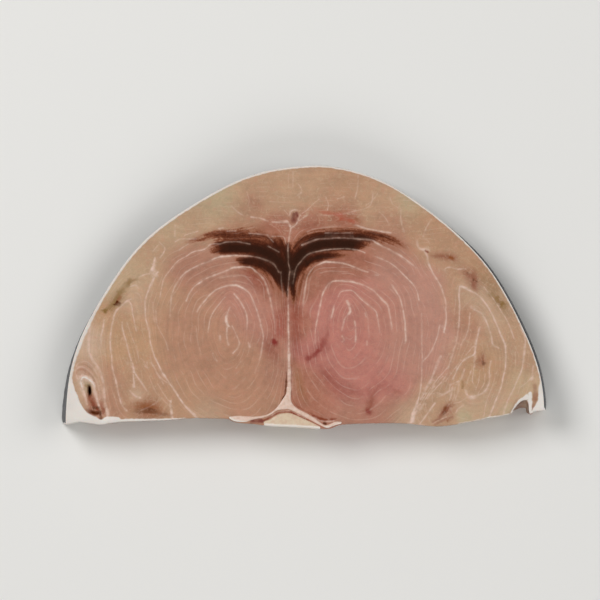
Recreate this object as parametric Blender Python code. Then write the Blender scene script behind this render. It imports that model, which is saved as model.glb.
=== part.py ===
"""A swordfish steak: half of a round slice through the fish, lying on one of its two cut faces.

X runs along the straight edge, Y towards the crown of the skin, Z up through the slice.
Sizes are in millimetres and turn into metres where the mesh is made.
"""

import math

import bpy
import numpy as np
from mathutils import Vector
from mathutils.geometry import delaunay_2d_cdt

METRE = 0.001

# The slice
THICKNESS = 20.0
SKIN_STEP = 2.7
CUT_STEP = 1.8
SEPTUM_STEP = 2.6
FLAKE_STEP = 3.1
PLAIN_STEP = 4.2
UNDERSIDE_STEP = 14.0
EDGE_CLEARANCE = 1.5

# The skin, an arch of two quarters that meet at the crown
CROWN_X = 6.9
CROWN_Y = 60.5
ARCH_HEIGHT = 118.8
LEFT_REACH = 116.4
RIGHT_REACH = 103.5
LEFT_FULLNESS = (1.08, 1.02)
RIGHT_FULLNESS = (1.25, 1.02)
RIGHT_HEEL = 6.6
RIPPLE_HEIGHT = 0.4
RIPPLE_LENGTH = 60.0
RIPPLE_START = 33.0
DERMIS_STANDS = 0.35

# The straight edge from the right corner to the left one, cut down the middle of the fish
CUT_EDGE = (
    (105.0, -52.4), (103.4, -54.2), (102.5, -51.7),
    (102.2, -48.2), (101.0, -46.9), (99.0, -47.8), (97.0, -49.9), (95.5, -52.0), (94.4, -53.6),
    (85.0, -55.4), (62.0, -59.2), (43.5, -57.8), (18.5, -58.3), (11.0, -60.3),
    (-2.0, -59.7), (-17.4, -58.9), (-22.0, -58.2), (-29.2, -57.7), (-32.6, -56.9),
    (-35.2, -55.8), (-52.4, -55.5), (-61.0, -56.3), (-84.5, -57.2), (-93.5, -58.4),
    (-103.0, -57.2),
)
NOTCH_LEFT, NOTCH_RIGHT = 95.0, 103.0
NOTCH_MOUTH_Y = -53.4
NOTCH_RISE = 6.5
NOTCH_LEAN = 4.6

# How the walls stand, from the lower edge to the upper one
WALL_LEVELS = (0.0, 0.03, 0.12, 0.3, 0.52, 0.74, 0.92, 1.0)
WALL_BELLY = 0.25
EDGE_ROUND = 0.7
EDGE_REACH = 0.035
LEFT_SKIRT = 3.0
LEFT_SKIRT_HEIGHT = 30.0
RIGHT_SKIRT = 1.1
RIGHT_SKIRT_WIDTH = 35.0
PLAIN_SKIRT = 0.2

# The muscle cones: core, flake pitch to the left, right, crown and straight edge, lean in degrees
CONES = {
    "left_lobe": ((-35.0, -11.4), (5.2, 6.0, 6.4, 9.2), 0.0),
    "right_lobe": ((21.7, -11.4), (5.5, 6.1, 6.5, 9.0), 0.0),
    "left_belly": ((-81.5, -32.0), (5.6, 6.0, 15.0, 14.0), 14.0),
    "right_belly": ((80.5, -31.0), (6.0, 6.4, 18.0, 15.0), -8.0),
}
LOBE_RINGS = 7
BELLY_RINGS = 4
GROOVE_DEPTH = 0.5
GROOVE_WIDTH = 0.16
BELLY_TOP = 14.0

# The membrane between the two lobes, and the cartilage it ends in
SEPTUM_X = -7.4
SEPTUM_TOP = 31.0
SEPTUM_FOOT = -50.0
SEPTUM_HALF = 1.3
SEPTUM_STANDS = 0.35
CARTILAGE_X = -8.2
CARTILAGE_CREST_Y = -52.3
CARTILAGE_SPREAD = 0.019
CARTILAGE_REACH = 17.0
CARTILAGE_STANDS = 0.8

# Hollows: centre, half length, half width, lean in degrees, depth
HOLLOWS = {
    "corner_pit": ((-98.1, -43.0), 3.6, 1.4, 4.0, 7.0),
    "corner_tear": ((-94.3, -51.4), 4.0, 1.7, -12.0, 1.6),
    "vessel": ((-4.8, 36.4), 2.0, 1.5, 0.0, 1.4),
    "flake_gap": ((63.6, -52.6), 4.5, 1.2, 35.0, 1.5),
}
HOLLOW_RINGS = ((0.45, 6), (1.0, 10), (1.8, 14))

# The swell of the flesh between its edges
LOBE_CROWN = 0.9
LOBE_SPREAD = 30.0
UNEVENNESS = 0.35


def bell(distance, spread):
    """A smooth hump of height one."""
    return math.exp(-0.5 * (distance / spread) ** 2)


def turned(x, y, degrees):
    """The point in axes that lean by an angle from the Y axis."""
    angle = math.radians(degrees)
    return (x * math.cos(angle) + y * math.sin(angle), y * math.cos(angle) - x * math.sin(angle))


def evenly_spaced(points, step):
    """Points along a dense line at equal steps, with both ends kept."""
    points = np.array(points)
    run = np.concatenate([[0.0], np.cumsum(np.linalg.norm(np.diff(points, axis=0), axis=1))])
    stops = np.linspace(0.0, run[-1], max(2, round(run[-1] / step) + 1))
    return np.column_stack([np.interp(stops, run, points[:, axis]) for axis in (0, 1)])


def skin_arch():
    """The top of the skin from the left corner to the right one."""
    def quarter(angles, reach, fullness):
        level, upright = fullness
        across = reach * np.cos(angles) ** level
        up = ARCH_HEIGHT * (np.sin(angles) ** upright - 1.0)
        return across, CROWN_Y + up

    heel = math.asin((RIGHT_HEEL / ARCH_HEIGHT) ** (1.0 / RIGHT_FULLNESS[1]))
    left_x, left_y = quarter(np.linspace(0.0, math.pi / 2, 400), LEFT_REACH, LEFT_FULLNESS)
    right_x, right_y = quarter(np.linspace(math.pi / 2, heel, 400), RIGHT_REACH, RIGHT_FULLNESS)
    x = CROWN_X + np.concatenate([-left_x, right_x[1:]])
    y = np.concatenate([left_y, right_y[1:]])
    arch = evenly_spaced(np.column_stack([x, y]), SKIN_STEP)
    along = np.gradient(arch, axis=0)
    out = np.column_stack([-along[:, 1], along[:, 0]]) / np.linalg.norm(along, axis=1, keepdims=True)
    run = SKIN_STEP * np.arange(len(arch)) - RIPPLE_START
    return arch + out * (RIPPLE_HEIGHT * np.cos(2 * math.pi * run / RIPPLE_LENGTH))[:, None]


def smooth_through(points, steps=12):
    """A Catmull-Rom curve through the points."""
    points = [np.array(point) for point in points]
    curve = []
    for before, start, end, after in zip(points, points[1:], points[2:], points[3:]):
        for t in np.arange(steps) / steps:
            curve.append(0.5 * (2 * start + (end - before) * t
                                + (2 * before - 5 * start + 4 * end - after) * t ** 2
                                + (3 * start - before - 3 * end + after) * t ** 3))
    return curve + [points[-2]]


def slice_outline():
    """The outline of the upper cut face, anticlockwise, and the index where its skin begins."""
    arch = skin_arch()
    cut = smooth_through([arch[-2], arch[-1], *CUT_EDGE, arch[0], arch[1]])
    cut = evenly_spaced(cut, CUT_STEP)
    loop = np.concatenate([arch, cut[1:-1]])[::-1]
    return loop, len(cut) - 2


def outward(loop):
    """The direction that points out of an anticlockwise loop, at each of its points."""
    along = np.roll(loop, -1, axis=0) - np.roll(loop, 1, axis=0)
    out = np.column_stack([along[:, 1], -along[:, 0]])
    return out / np.linalg.norm(out, axis=1, keepdims=True)


def skirt(x, y):
    """How far the skin's foot stands out sideways from its upper edge."""
    if x < CROWN_X:
        return LEFT_SKIRT * bell(y - CROWN_Y + ARCH_HEIGHT, LEFT_SKIRT_HEIGHT)
    return RIGHT_SKIRT * bell(x - RIGHT_REACH - CROWN_X, RIGHT_SKIRT_WIDTH)


def in_notch(x, y):
    """How much of the notch's height a point of the outline has climbed, from 0 to 1."""
    if not NOTCH_LEFT < x < NOTCH_RIGHT or y > NOTCH_MOUTH_Y + 1.2 * NOTCH_RISE:
        return 0.0
    return min(1.0, max(0.0, (y - NOTCH_MOUTH_Y) / NOTCH_RISE))


def outline_at(loop, level):
    """The outline at a level of the wall, 0 at the foot and 1 at the upper cut face."""
    swell = WALL_BELLY * 4.0 * level * (1.0 - level)
    rounding = EDGE_ROUND * math.exp(-level / EDGE_REACH)
    points = []
    for (x, y), (out_x, out_y) in zip(loop, outward(loop)):
        climbed = in_notch(x, y)
        free = 1.0 - min(1.0, 3.0 * climbed)
        plain = free * (PLAIN_SKIRT * (1.0 - level) + swell) - rounding
        sideways = plain + free * skirt(x, y) * (1.0 - level) ** 1.4
        points.append((x + out_x * sideways, y + out_y * plain - NOTCH_LEAN * climbed * (1.0 - level)))
    return points


def ring_number(name, x, y):
    """How many flakes a point lies from the core of its cone: whole numbers are the membranes."""
    (core_x, core_y), (left, right, up, down), lean = CONES[name]
    across, along = turned(x - core_x, y - core_y, lean)
    return math.hypot(across / (right if across > 0 else left), along / (up if along > 0 else down))


def owner(x, y):
    """The cone that a point of the cut face belongs to, or None in the plain flesh under the skin."""
    lobe = "left_lobe" if x < SEPTUM_X else "right_lobe"
    if ring_number(lobe, x, y) <= LOBE_RINGS + 0.01:
        return lobe
    belly = "left_belly" if x < 0 else "right_belly"
    if y < BELLY_TOP and ring_number(belly, x, y) <= BELLY_RINGS:
        return belly
    return None


def hollow_depth(x, y):
    """How deep the hollows are at a point."""
    depth = 0.0
    for (at_x, at_y), length, width, lean, deepest in HOLLOWS.values():
        across, along = turned(x - at_x, y - at_y, lean)
        depth = max(depth, deepest * math.exp(-1.6 * ((across / width) ** 2 + (along / length) ** 2)))
    return depth


def cartilage_edge(x):
    """The upper edge of the cartilage, an arch over the straight edge."""
    return CARTILAGE_CREST_Y - CARTILAGE_SPREAD * (x - CARTILAGE_X) ** 2


def face_height(x, y):
    """The height of the upper cut face."""
    height = THICKNESS + UNEVENNESS * math.sin(x / 27.0 + 1.0) * math.cos(y / 21.0)
    for lobe in ("left_lobe", "right_lobe"):
        (core_x, core_y), _, _ = CONES[lobe]
        height += LOBE_CROWN * bell(math.hypot(x - core_x, y - core_y), LOBE_SPREAD)
    cone = owner(x, y)
    if cone:
        ring = ring_number(cone, x, y)
        height -= GROOVE_DEPTH * bell(ring - round(ring), GROOVE_WIDTH) * min(1.0, ring)
    if SEPTUM_FOOT < y < SEPTUM_TOP:
        beside = abs(x - SEPTUM_X)
        height += SEPTUM_STANDS * bell(beside, 0.6) - GROOVE_DEPTH * bell(beside - 2 * SEPTUM_HALF, 0.7)
    if abs(x - CARTILAGE_X) < CARTILAGE_REACH and y < cartilage_edge(x) - 0.5:
        height += CARTILAGE_STANDS
    return height - hollow_depth(x, y)


def ring_points(name, count):
    """Points on each membrane of a cone and half way between two, clipped to what the cone owns."""
    (core_x, core_y), (left, right, up, down), lean = CONES[name]
    points = [(core_x, core_y)]
    for half_ring in range(1, 2 * count + 1):
        ring = half_ring / 2
        girth = math.pi * ring * (left + right + up + down) / 2
        turns = max(6, round(girth / FLAKE_STEP))
        for index in range(turns):
            angle = 2 * math.pi * (index + 0.5 * (half_ring % 2)) / turns
            across = ring * math.cos(angle) * (right if math.cos(angle) > 0 else left)
            along = ring * math.sin(angle) * (up if math.sin(angle) > 0 else down)
            dx, dy = turned(across, along, -lean)
            if owner(core_x + dx, core_y + dy) == name:
                points.append((core_x + dx, core_y + dy))
    return points


def septum_points():
    """Three rows of points along the membrane between the lobes."""
    rows = np.arange(SEPTUM_FOOT, SEPTUM_TOP, SEPTUM_STEP)
    return [(SEPTUM_X + side * SEPTUM_HALF, y) for y in rows for side in (-2, 0, 2)]


def cartilage_points():
    """Points along both sides of the cartilage's upper edge."""
    rows = np.arange(CARTILAGE_X - CARTILAGE_REACH + 2, CARTILAGE_X + CARTILAGE_REACH, SEPTUM_STEP)
    return [(x, cartilage_edge(x) + side) for x in rows for side in (0.3, -1.0)]


def hollow_points():
    """Rings of points down each hollow."""
    points = []
    for (at_x, at_y), length, width, lean, _ in HOLLOWS.values():
        points.append((at_x, at_y))
        for size, count in HOLLOW_RINGS:
            for index in range(count):
                angle = 2 * math.pi * (index + 0.5) / count
                dx, dy = turned(size * width * math.cos(angle), size * length * math.sin(angle), -lean)
                points.append((at_x + dx, at_y + dy))
    return points


def grid_points(loop, step):
    """A grid of triangles' corners over the whole slice."""
    low, high = loop.min(axis=0), loop.max(axis=0)
    points = []
    for row, y in enumerate(np.arange(low[1], high[1], step * 0.87)):
        points += [(x + (row % 2) * step / 2, y) for x in np.arange(low[0], high[0], step)]
    return points


def distance_inside(loop, x, y):
    """The distance from a point to the outline, negative outside it."""
    ends = np.roll(loop, -1, axis=0)
    along = ends - loop
    share = np.clip(((x - loop[:, 0]) * along[:, 0] + (y - loop[:, 1]) * along[:, 1])
                    / (along ** 2).sum(axis=1), 0.0, 1.0)
    nearest = np.hypot(loop[:, 0] + share * along[:, 0] - x, loop[:, 1] + share * along[:, 1] - y).min()
    crosses = (loop[:, 1] > y) != (ends[:, 1] > y)
    height = np.where(along[:, 1] == 0.0, 1.0, along[:, 1])
    inside = np.count_nonzero(crosses & (x < loop[:, 0] + along[:, 0] * (y - loop[:, 1]) / height)) % 2
    return nearest if inside else -nearest


def spread_out(loop, groups):
    """The points of the groups that lie inside the loop, each at its group's gap from those before it."""
    kept = np.empty((0, 2))
    for points, gap in groups:
        for x, y in points:
            if len(kept) and np.hypot(kept[:, 0] - x, kept[:, 1] - y).min() < gap:
                continue
            if distance_inside(loop, x, y) > EDGE_CLEARANCE:
                kept = np.vstack([kept, (x, y)])
    return kept


def triangulated(loop, inner):
    """Triangles that join the loop and the points inside it, as indices into loop + inner."""
    points = [Vector(point) for point in (*loop, *inner)]
    rim = [(index, (index + 1) % len(loop)) for index in range(len(loop))]
    _, _, faces, sources, _, _ = delaunay_2d_cdt(points, rim, [], 1, 1e-5)
    return [[sources[corner][0] for corner in face] for face in faces]


def material(name, colour, roughness):
    """A plain material with a viewport colour."""
    made = bpy.data.materials.new(name)
    made.use_nodes = True
    shader = made.node_tree.nodes["Principled BSDF"]
    shader.inputs["Base Color"].default_value = (*colour, 1.0)
    shader.inputs["Roughness"].default_value = roughness
    made.diffuse_color = (*colour, 1.0)
    return made


def make_steak():
    """The whole slice as one closed mesh: walls, upper cut face and flat underside."""
    loop, skin_first = slice_outline()
    count = len(loop)
    verts, faces, slots = [], [], []

    for level in WALL_LEVELS:
        for (x, y), (top_x, top_y), index in zip(outline_at(loop, level), loop, range(count)):
            stands = DERMIS_STANDS if index >= skin_first else 0.0
            verts.append((x, y, level * (face_height(top_x, top_y) + stands)))
    for ring in range(len(WALL_LEVELS) - 1):
        for index in range(count):
            low, low_next = ring * count + index, ring * count + (index + 1) % count
            faces.append((low, low_next, low_next + count, low + count))
            slots.append(1 if index >= skin_first else 0)

    top_loop = np.array([(x, y) for x, y, _ in verts[-count:]])
    foot_loop = np.array([(x, y) for x, y, _ in verts[:count]])
    flakes = [point for name in ("left_lobe", "right_lobe") for point in ring_points(name, LOBE_RINGS)]
    flakes += [point for name in ("left_belly", "right_belly") for point in ring_points(name, BELLY_RINGS)]
    top_inner = spread_out(top_loop, (
        (hollow_points(), 0.35), (cartilage_points(), 1.0), (septum_points(), 1.2),
        (flakes, 1.6), (grid_points(top_loop, PLAIN_STEP), 2.6)))
    foot_inner = spread_out(foot_loop, ((grid_points(foot_loop, UNDERSIDE_STEP), 6.0),))

    top_first = len(verts)
    verts += [(x, y, face_height(x, y)) for x, y in top_inner]
    rim_first = (len(WALL_LEVELS) - 1) * count
    for face in triangulated(top_loop, top_inner):
        faces.append([rim_first + corner if corner < count else top_first + corner - count for corner in face])
        slots.append(0)
    foot_first = len(verts)
    verts += [(x, y, 0.0) for x, y in foot_inner]
    for face in triangulated(foot_loop, foot_inner):
        faces.append([corner if corner < count else foot_first + corner - count for corner in reversed(face)])
        slots.append(0)

    verts = np.array(verts)
    verts[:, :2] -= (verts[:, :2].min(axis=0) + verts[:, :2].max(axis=0)) / 2
    mesh = bpy.data.meshes.new("swordfish_steak")
    mesh.from_pydata((verts * METRE).tolist(), [], faces)
    mesh.materials.append(material("white_muscle", (0.42, 0.24, 0.15), 0.35))
    mesh.materials.append(material("slate_skin", (0.06, 0.07, 0.08), 0.4))
    mesh.polygons.foreach_set("material_index", slots)
    mesh.shade_smooth()
    mesh.set_sharp_from_angle(angle=math.radians(50))
    steak = bpy.data.objects.new("swordfish_steak", mesh)
    bpy.context.collection.objects.link(steak)
    return steak


for startup_object in list(bpy.data.objects):
    bpy.data.objects.remove(startup_object)
make_steak()
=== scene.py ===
# %% [markdown]
# # A swordfish steak
# The object is half of a round slice through a swordfish. It lies on one of its two cut faces, and its
# third cut runs down the middle of the fish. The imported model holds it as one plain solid. This lesson
# dresses that solid in three pieces: the moist flesh with its membranes and dark muscle, the white
# cartilage at the middle of the straight edge, and the slate skin round the arch.
# Places are worked out in millimetres, and turn into metres only where a mesh is made.

# %% Load the solid
import math

import bmesh
import bpy
import numpy as np
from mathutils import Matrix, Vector, noise
from mathutils.geometry import delaunay_2d_cdt
from mathutils.kdtree import KDTree


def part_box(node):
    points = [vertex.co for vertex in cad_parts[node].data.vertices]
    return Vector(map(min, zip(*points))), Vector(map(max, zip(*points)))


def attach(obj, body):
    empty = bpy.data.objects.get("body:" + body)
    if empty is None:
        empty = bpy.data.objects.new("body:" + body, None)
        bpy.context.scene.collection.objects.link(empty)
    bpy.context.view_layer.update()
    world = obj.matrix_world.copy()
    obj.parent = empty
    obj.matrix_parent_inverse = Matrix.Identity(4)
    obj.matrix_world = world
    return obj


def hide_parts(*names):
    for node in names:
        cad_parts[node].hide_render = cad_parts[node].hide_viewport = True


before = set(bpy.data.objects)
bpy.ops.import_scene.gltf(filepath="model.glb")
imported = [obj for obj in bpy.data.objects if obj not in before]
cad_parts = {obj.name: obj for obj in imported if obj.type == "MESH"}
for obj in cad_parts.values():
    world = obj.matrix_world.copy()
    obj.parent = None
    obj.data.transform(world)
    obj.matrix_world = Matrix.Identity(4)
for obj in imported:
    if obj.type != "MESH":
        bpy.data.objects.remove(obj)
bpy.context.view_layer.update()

MM = 0.001
STEAK = "swordfish_steak"
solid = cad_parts[STEAK].data
low, high = (np.array(corner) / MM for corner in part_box(STEAK))
print("the solid measures", np.round(high - low, 1), "mm")

# %% [markdown]
# ## From the picture to the steak
# The membranes of a fish are as personal as a fingerprint, so they are drawn here, stroke by stroke, over
# the picture. The camera looked straight down, so one pixel is the same length everywhere, and a pixel
# turns into a place on the steak by one shift and one scale.

# %% Pixels to millimetres
MM_PER_PIXEL = 0.4574
MIDDLE_PIXEL = (303.83, 297.27)


def on_steak(pixels):
    """Pixels of the picture as places on the steak, in millimetres. Columns after x and y stay."""
    places = np.array(pixels, float)
    places[:, 0] = (places[:, 0] - MIDDLE_PIXEL[0]) * MM_PER_PIXEL
    places[:, 1] = (MIDDLE_PIXEL[1] - places[:, 1]) * MM_PER_PIXEL
    return places


print("the picture is", round(600 * MM_PER_PIXEL, 1), "mm wide at the steak")

# %% [markdown]
# A drawn stroke needs only a few points when a Catmull-Rom curve is run through them. The curve
# passes through every point, which makes it easier to draw with than a Bezier curve. Its points are then
# spread evenly, because meshes and distance searches both want even steps. Blender's own noise gives
# every drawn line and surface its small unsteadiness.

# %% Curves and noise
def evenly(curve, count):
    """The same line with its points at even steps. Columns after x and y are carried along."""
    run = np.concatenate([[0.0], np.cumsum(np.linalg.norm(np.diff(curve[:, :2], axis=0), axis=1))])
    stops = np.linspace(0.0, run[-1], count)
    return np.column_stack([np.interp(stops, run, column) for column in curve.T])


def length_of(curve):
    return np.linalg.norm(np.diff(curve[:, :2], axis=0), axis=1).sum()


def smooth_through(points, step, closed=False):
    """A Catmull-Rom curve through the points, at even steps in millimetres."""
    if closed:
        guided = np.concatenate([points[-1:], points, points[:2]])
    else:
        guided = np.concatenate([2 * points[:1] - points[1:2], points, 2 * points[-1:] - points[-2:-1]])
    t = np.linspace(0.0, 1.0, 10, endpoint=False)[:, None]
    parts = [0.5 * (2 * b + (c - a) * t + (2 * a - 5 * b + 4 * c - d) * t ** 2
                    + (3 * b - a - 3 * c + d) * t ** 3)
             for a, b, c, d in zip(guided, guided[1:], guided[2:], guided[3:])]
    curve = np.concatenate([*parts, guided[-2:-1]])
    count = max(2, round(length_of(curve) / step) + 1)
    return evenly(curve, count)[:-1] if closed else evenly(curve, count)


def cloud(points, size, octaves=3):
    """Fractal noise of a size in millimetres, about -1 to 1."""
    return np.array([noise.fractal(Vector(point) / size, 1.0, 2.0, octaves) for point in points])


def flat(places):
    return np.column_stack([places, np.zeros(len(places))])


def smoothstep(start, end, value):
    t = np.clip((value - start) / (end - start), 0.0, 1.0)
    return t * t * (3.0 - 2.0 * t)


print("the noise spans", np.round(np.ptp(cloud(np.arange(90.0).reshape(-1, 3), 7.0)), 1))

# %% [markdown]
# Two questions come up again and again: which point of a set is nearest to a place, and does a place lie
# inside a closed loop. A k-d tree answers the first quickly. For the second, a line from the place to
# the right crosses the loop an odd number of times when the place is inside.

# %% Nearest points and insides
def tree_of(points):
    tree = KDTree(len(points))
    for number, point in enumerate(points):
        tree.insert((point[0], point[1], 0.0), number)
    tree.balance()
    return tree


def nearest(tree, places):
    """The distance to the nearest point of the tree, and its number, for each place."""
    found = [tree.find((x, y, 0.0))[1:] for x, y in places]
    return np.array([away for _, away in found]), np.array([number for number, _ in found], int)


def inside(loop, places):
    x, y = places.T
    odd = np.zeros(len(places), bool)
    for (x0, y0), (x1, y1) in zip(loop, np.roll(loop, -1, axis=0)):
        if y0 != y1:
            odd ^= ((y0 > y) != (y1 > y)) & (x < x0 + (x1 - x0) * (y - y0) / (y1 - y0))
    return odd


def anticlockwise(loop):
    area = np.sum(loop[:, 0] * np.roll(loop[:, 1], -1) - np.roll(loop[:, 0], -1) * loop[:, 1])
    return loop if area > 0 else loop[::-1]


def inward_of(loop):
    """The direction that points into an anticlockwise loop, at each of its points."""
    along = np.roll(loop, -2, axis=0) - np.roll(loop, 2, axis=0)
    return np.column_stack([-along[:, 1], along[:, 0]]) / np.linalg.norm(along, axis=1, keepdims=True)


square = np.array([(0.0, 0.0), (4.0, 0.0), (4.0, 4.0), (0.0, 4.0)])
print("the middle of a square is inside it:", bool(inside(square, np.array([(2.0, 2.0)]))[0]))

# %% [markdown]
# ## The outline of the solid
# The new pieces have to fill the same space as the solid, so their walls start from it. Cutting the
# solid's mesh with level planes gives its outline at several heights. Each outline is split at the two
# sharp corners into the straight front and the arch of skin, and both get the same number of columns at
# every height, so that the columns join up into a wall.

# %% Cut the solid into outlines
CUT_HEIGHTS = (0.1, 0.6, 1.6, 3.2, 6.0, 9.0, 12.5, 16.0, 18.9)
COLUMN_STEP = 0.7


def outline_at(height):
    """The longest loop in which a level plane cuts the solid, anticlockwise from the left corner."""
    cut = bmesh.new()
    cut.from_mesh(solid)
    bmesh.ops.remove_doubles(cut, verts=cut.verts, dist=1e-3 * MM)
    made = bmesh.ops.bisect_plane(cut, geom=[*cut.verts, *cut.edges, *cut.faces], dist=1e-7,
                                  plane_co=(0, 0, height * MM), plane_no=(0, 0, 1))
    beside = {}
    for item in made["geom_cut"]:
        if isinstance(item, bmesh.types.BMEdge):
            start, end = item.verts
            beside.setdefault(start, []).append(end)
            beside.setdefault(end, []).append(start)
    loops = []
    while beside:
        loop = [next(iter(beside))]
        while True:
            onward = [vert for vert in beside.pop(loop[-1], ()) if vert in beside]
            if not onward:
                break
            loop.append(onward[0])
        loops.append(np.array([vert.co[:2] for vert in loop]) / MM)
    cut.free()
    loop = anticlockwise(max(loops, key=len))
    return np.roll(loop, -np.argmin(loop.sum(axis=1)), axis=0)


def front_and_arch(loop):
    """The straight edge from left to right, and the arch back from right to left."""
    corner = np.argmax(loop[:, 0] - loop[:, 1])
    return loop[:corner + 1], np.concatenate([loop[corner:], loop[:1]])


def share_along_front(front):
    """How far along the front each point lies, from 0 to 1, always rising."""
    across = np.maximum.accumulate(front[:, 0]) + np.arange(len(front)) * 1e-6
    return (across - across[0]) / (across[-1] - across[0])


print("the solid is cut at", len(CUT_HEIGHTS), "heights")

# %% [markdown]
# The highest outline decides how many columns there are and where they stand. The lower outlines get
# their points at the same shares of the way from corner to corner.

# %% The same columns at every height
halves = [front_and_arch(outline_at(height)) for height in CUT_HEIGHTS]
top_front, top_arch = (smooth_through(half, COLUMN_STEP) for half in halves[-1])
front_shares = share_along_front(top_front)
outlines = []
for front, arch in halves:
    shares = share_along_front(front)
    front = np.column_stack([np.interp(front_shares, shares, column) for column in front.T])
    arch = evenly(smooth_through(arch, COLUMN_STEP), len(top_arch))
    outlines.append(np.concatenate([front, arch[1:-1]]))
outlines = np.array(outlines)
columns = outlines.shape[1]
front_count = len(top_front)
top_outline = outlines[-1]
print(columns, "columns round the steak,", front_count, "of them on the front")

# %% [markdown]
# Three facts are needed at each column: which way is inward, how far the nearest corner of the arch is,
# and how much of the skin the flesh hides. On the left and at the crown the skin leans out under the
# flesh, and only its white edge shows from above. On the right the knife left the flesh a little short,
# so the skin shows as a dark line.

# %% Facts about each column
LIP_FADES_FROM, LIP_FADES_TO = 62.0, 80.0


def at_height(heights):
    """Where each column of the solid's wall is at its own height."""
    level = np.clip(np.searchsorted(CUT_HEIGHTS, heights) - 1, 0, len(CUT_HEIGHTS) - 2)
    below, above = np.take(CUT_HEIGHTS, level), np.take(CUT_HEIGHTS, level + 1)
    share = np.clip((heights - below) / (above - below), 0.0, 1.0)[:, None]
    column = np.arange(columns)
    return outlines[level, column] * (1.0 - share) + outlines[level + 1, column] * share


inward = inward_of(top_outline)
corners = top_outline[[0, front_count - 1]]
corner_distance = np.min([np.linalg.norm(top_outline - corner, axis=1) for corner in corners], axis=0)
is_skin = np.arange(columns) >= front_count
skin_share = np.where(is_skin, smoothstep(0.0, 1.6, corner_distance), 0.0)
lip = 1.0 - smoothstep(LIP_FADES_FROM, LIP_FADES_TO, top_outline[:, 0])
print("the arch has", int(is_skin.sum()), "columns")

# %% [markdown]
# ## The swell of the cut face
# A cut face is never flat: each lobe of muscle swells a little. The solid has that swell, along with
# coarse grooves. A polynomial fitted to the solid's upper points keeps the swell and drops the grooves,
# which the flesh mesh then cuts again, finer, where the drawn membranes run.

# %% Fit the swell
SWELL_DEGREE = 6
FACE_STARTS = 19.0


def powers(places):
    x, y = places[:, 0] / high[0], places[:, 1] / high[1]
    degrees = range(SWELL_DEGREE + 1)
    return np.column_stack([x ** a * y ** b for a in degrees for b in degrees if a + b <= SWELL_DEGREE])


corners_of_solid = np.array([vert.co for vert in solid.vertices]) / MM
face_points = corners_of_solid[corners_of_solid[:, 2] > FACE_STARTS]
swell_terms = np.linalg.lstsq(powers(face_points), face_points[:, 2], rcond=None)[0]


def swell_at(places):
    """The height of the cut face without its grooves."""
    return powers(places) @ swell_terms


misses = np.abs(swell_at(face_points) - face_points[:, 2])
print("the swell is within", round(float(misses.mean()), 2), "mm of the solid on average")

# %% [markdown]
# ## The membranes
# Fish muscle is stacked in cones. Thin membranes of collagen part the cones, and a cut across them shows
# as nested pale rings. Each stroke below has half its width in millimetres, how white it is, and the
# pixels it passes. A third number at a pixel makes the stroke whiter or fainter there.

# %% Strokes in the two lobes
HAIR, FINE, PLAIN, BOLD, BROAD = 0.20, 0.27, 0.34, 0.50, 0.80

left_lobe = [
    (PLAIN, 0.6, [(230, 307), (227.5, 313)]),
    (BOLD, 0.9, [(227.5, 313), (226.5, 317), (226.4, 322), (228.4, 326)]),
    (PLAIN, 0.5, [(232, 326), (236, 334), (239, 342), (238, 348), (233, 353)]),
    (PLAIN, 0.6, [(227, 328), (227, 338), (228.7, 345)]),
    (BOLD, 0.4, [(220, 336), (220, 340)]),
    (FINE, 0.55, [(225, 297), (219, 304), (213, 313), (210, 320), (208, 332, 0.3)]),
    (PLAIN, 0.6, [(234, 294), (239, 300), (244, 308), (247, 317), (247, 330, 0.4)]),
    (BOLD, 0.5, [(248.5, 343), (249.5, 347)]),
    (FINE, 0.35, [(236, 368), (241, 361)]),
    (FINE, 0.35, [(213, 353), (217, 361)]),
    (PLAIN, 0.6, [(197, 312, 0.4), (201, 305), (206, 299), (213, 292), (220, 288), (226, 286),
        (233, 285, 1), (239, 286, 1), (247, 291), (252, 298), (256, 308), (259, 317), (261, 325),
        (263, 338, 0.5), (260, 358, 0.3), (255, 373, 0.15)]),
    (FINE, 0.25, [(196, 326), (197, 338), (201, 354)]),
    (FINE, 0.3, [(220, 278), (233, 276), (244, 276), (253, 284)]),
    (PLAIN, 0.55, [(186, 301), (189, 294), (193, 288), (199, 283, 0.8), (205, 279), (212, 276), (223, 272),
        (232, 268, 0.8), (238, 267, 0.9), (250, 267.4, 0.8), (255, 271), (261, 276), (265, 282), (269, 294),
        (272, 308), (274, 321, 0.4), (275, 334, 0.2)]),
    (PLAIN, 0.5, [(170, 318, 0.2), (171, 300), (172, 294), (175, 286), (179, 280), (184, 274), (191, 269),
        (199, 265), (207, 262), (216, 258, 0.9), (225, 256, 1), (236, 255.4, 1), (245, 256, 0.8),
        (256, 257), (265, 260), (273, 264), (279, 272)]),
    (FINE, 0.5, [(160, 297, 0.3), (162, 286), (164, 278), (171, 269), (177, 262), (185, 257),
        (193, 252, 0.9), (204, 249, 0.8), (212, 244), (220, 244), (227, 242), (239, 242), (250, 244)]),
    (FINE, 0.4, [(268, 246), (279, 252)]),
    (FINE, 0.45, [(175, 242), (181, 239), (196, 239)]),
    (FINE, 0.4, [(179, 250), (188, 244)]),
    (FINE, 0.45, [(185, 235), (198, 231)]),
    (BOLD, 0.75, [(219, 229), (223, 228)]),
    (PLAIN, 0.4, [(227, 231), (236, 231)]),
    (PLAIN, 0.4, [(249, 233), (268, 235)]),
    (FINE, 0.45, [(272, 236.5), (283, 236.5), (286, 244)]),
    (FINE, 0.4, [(268, 236), (273, 242)]),
]
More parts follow.
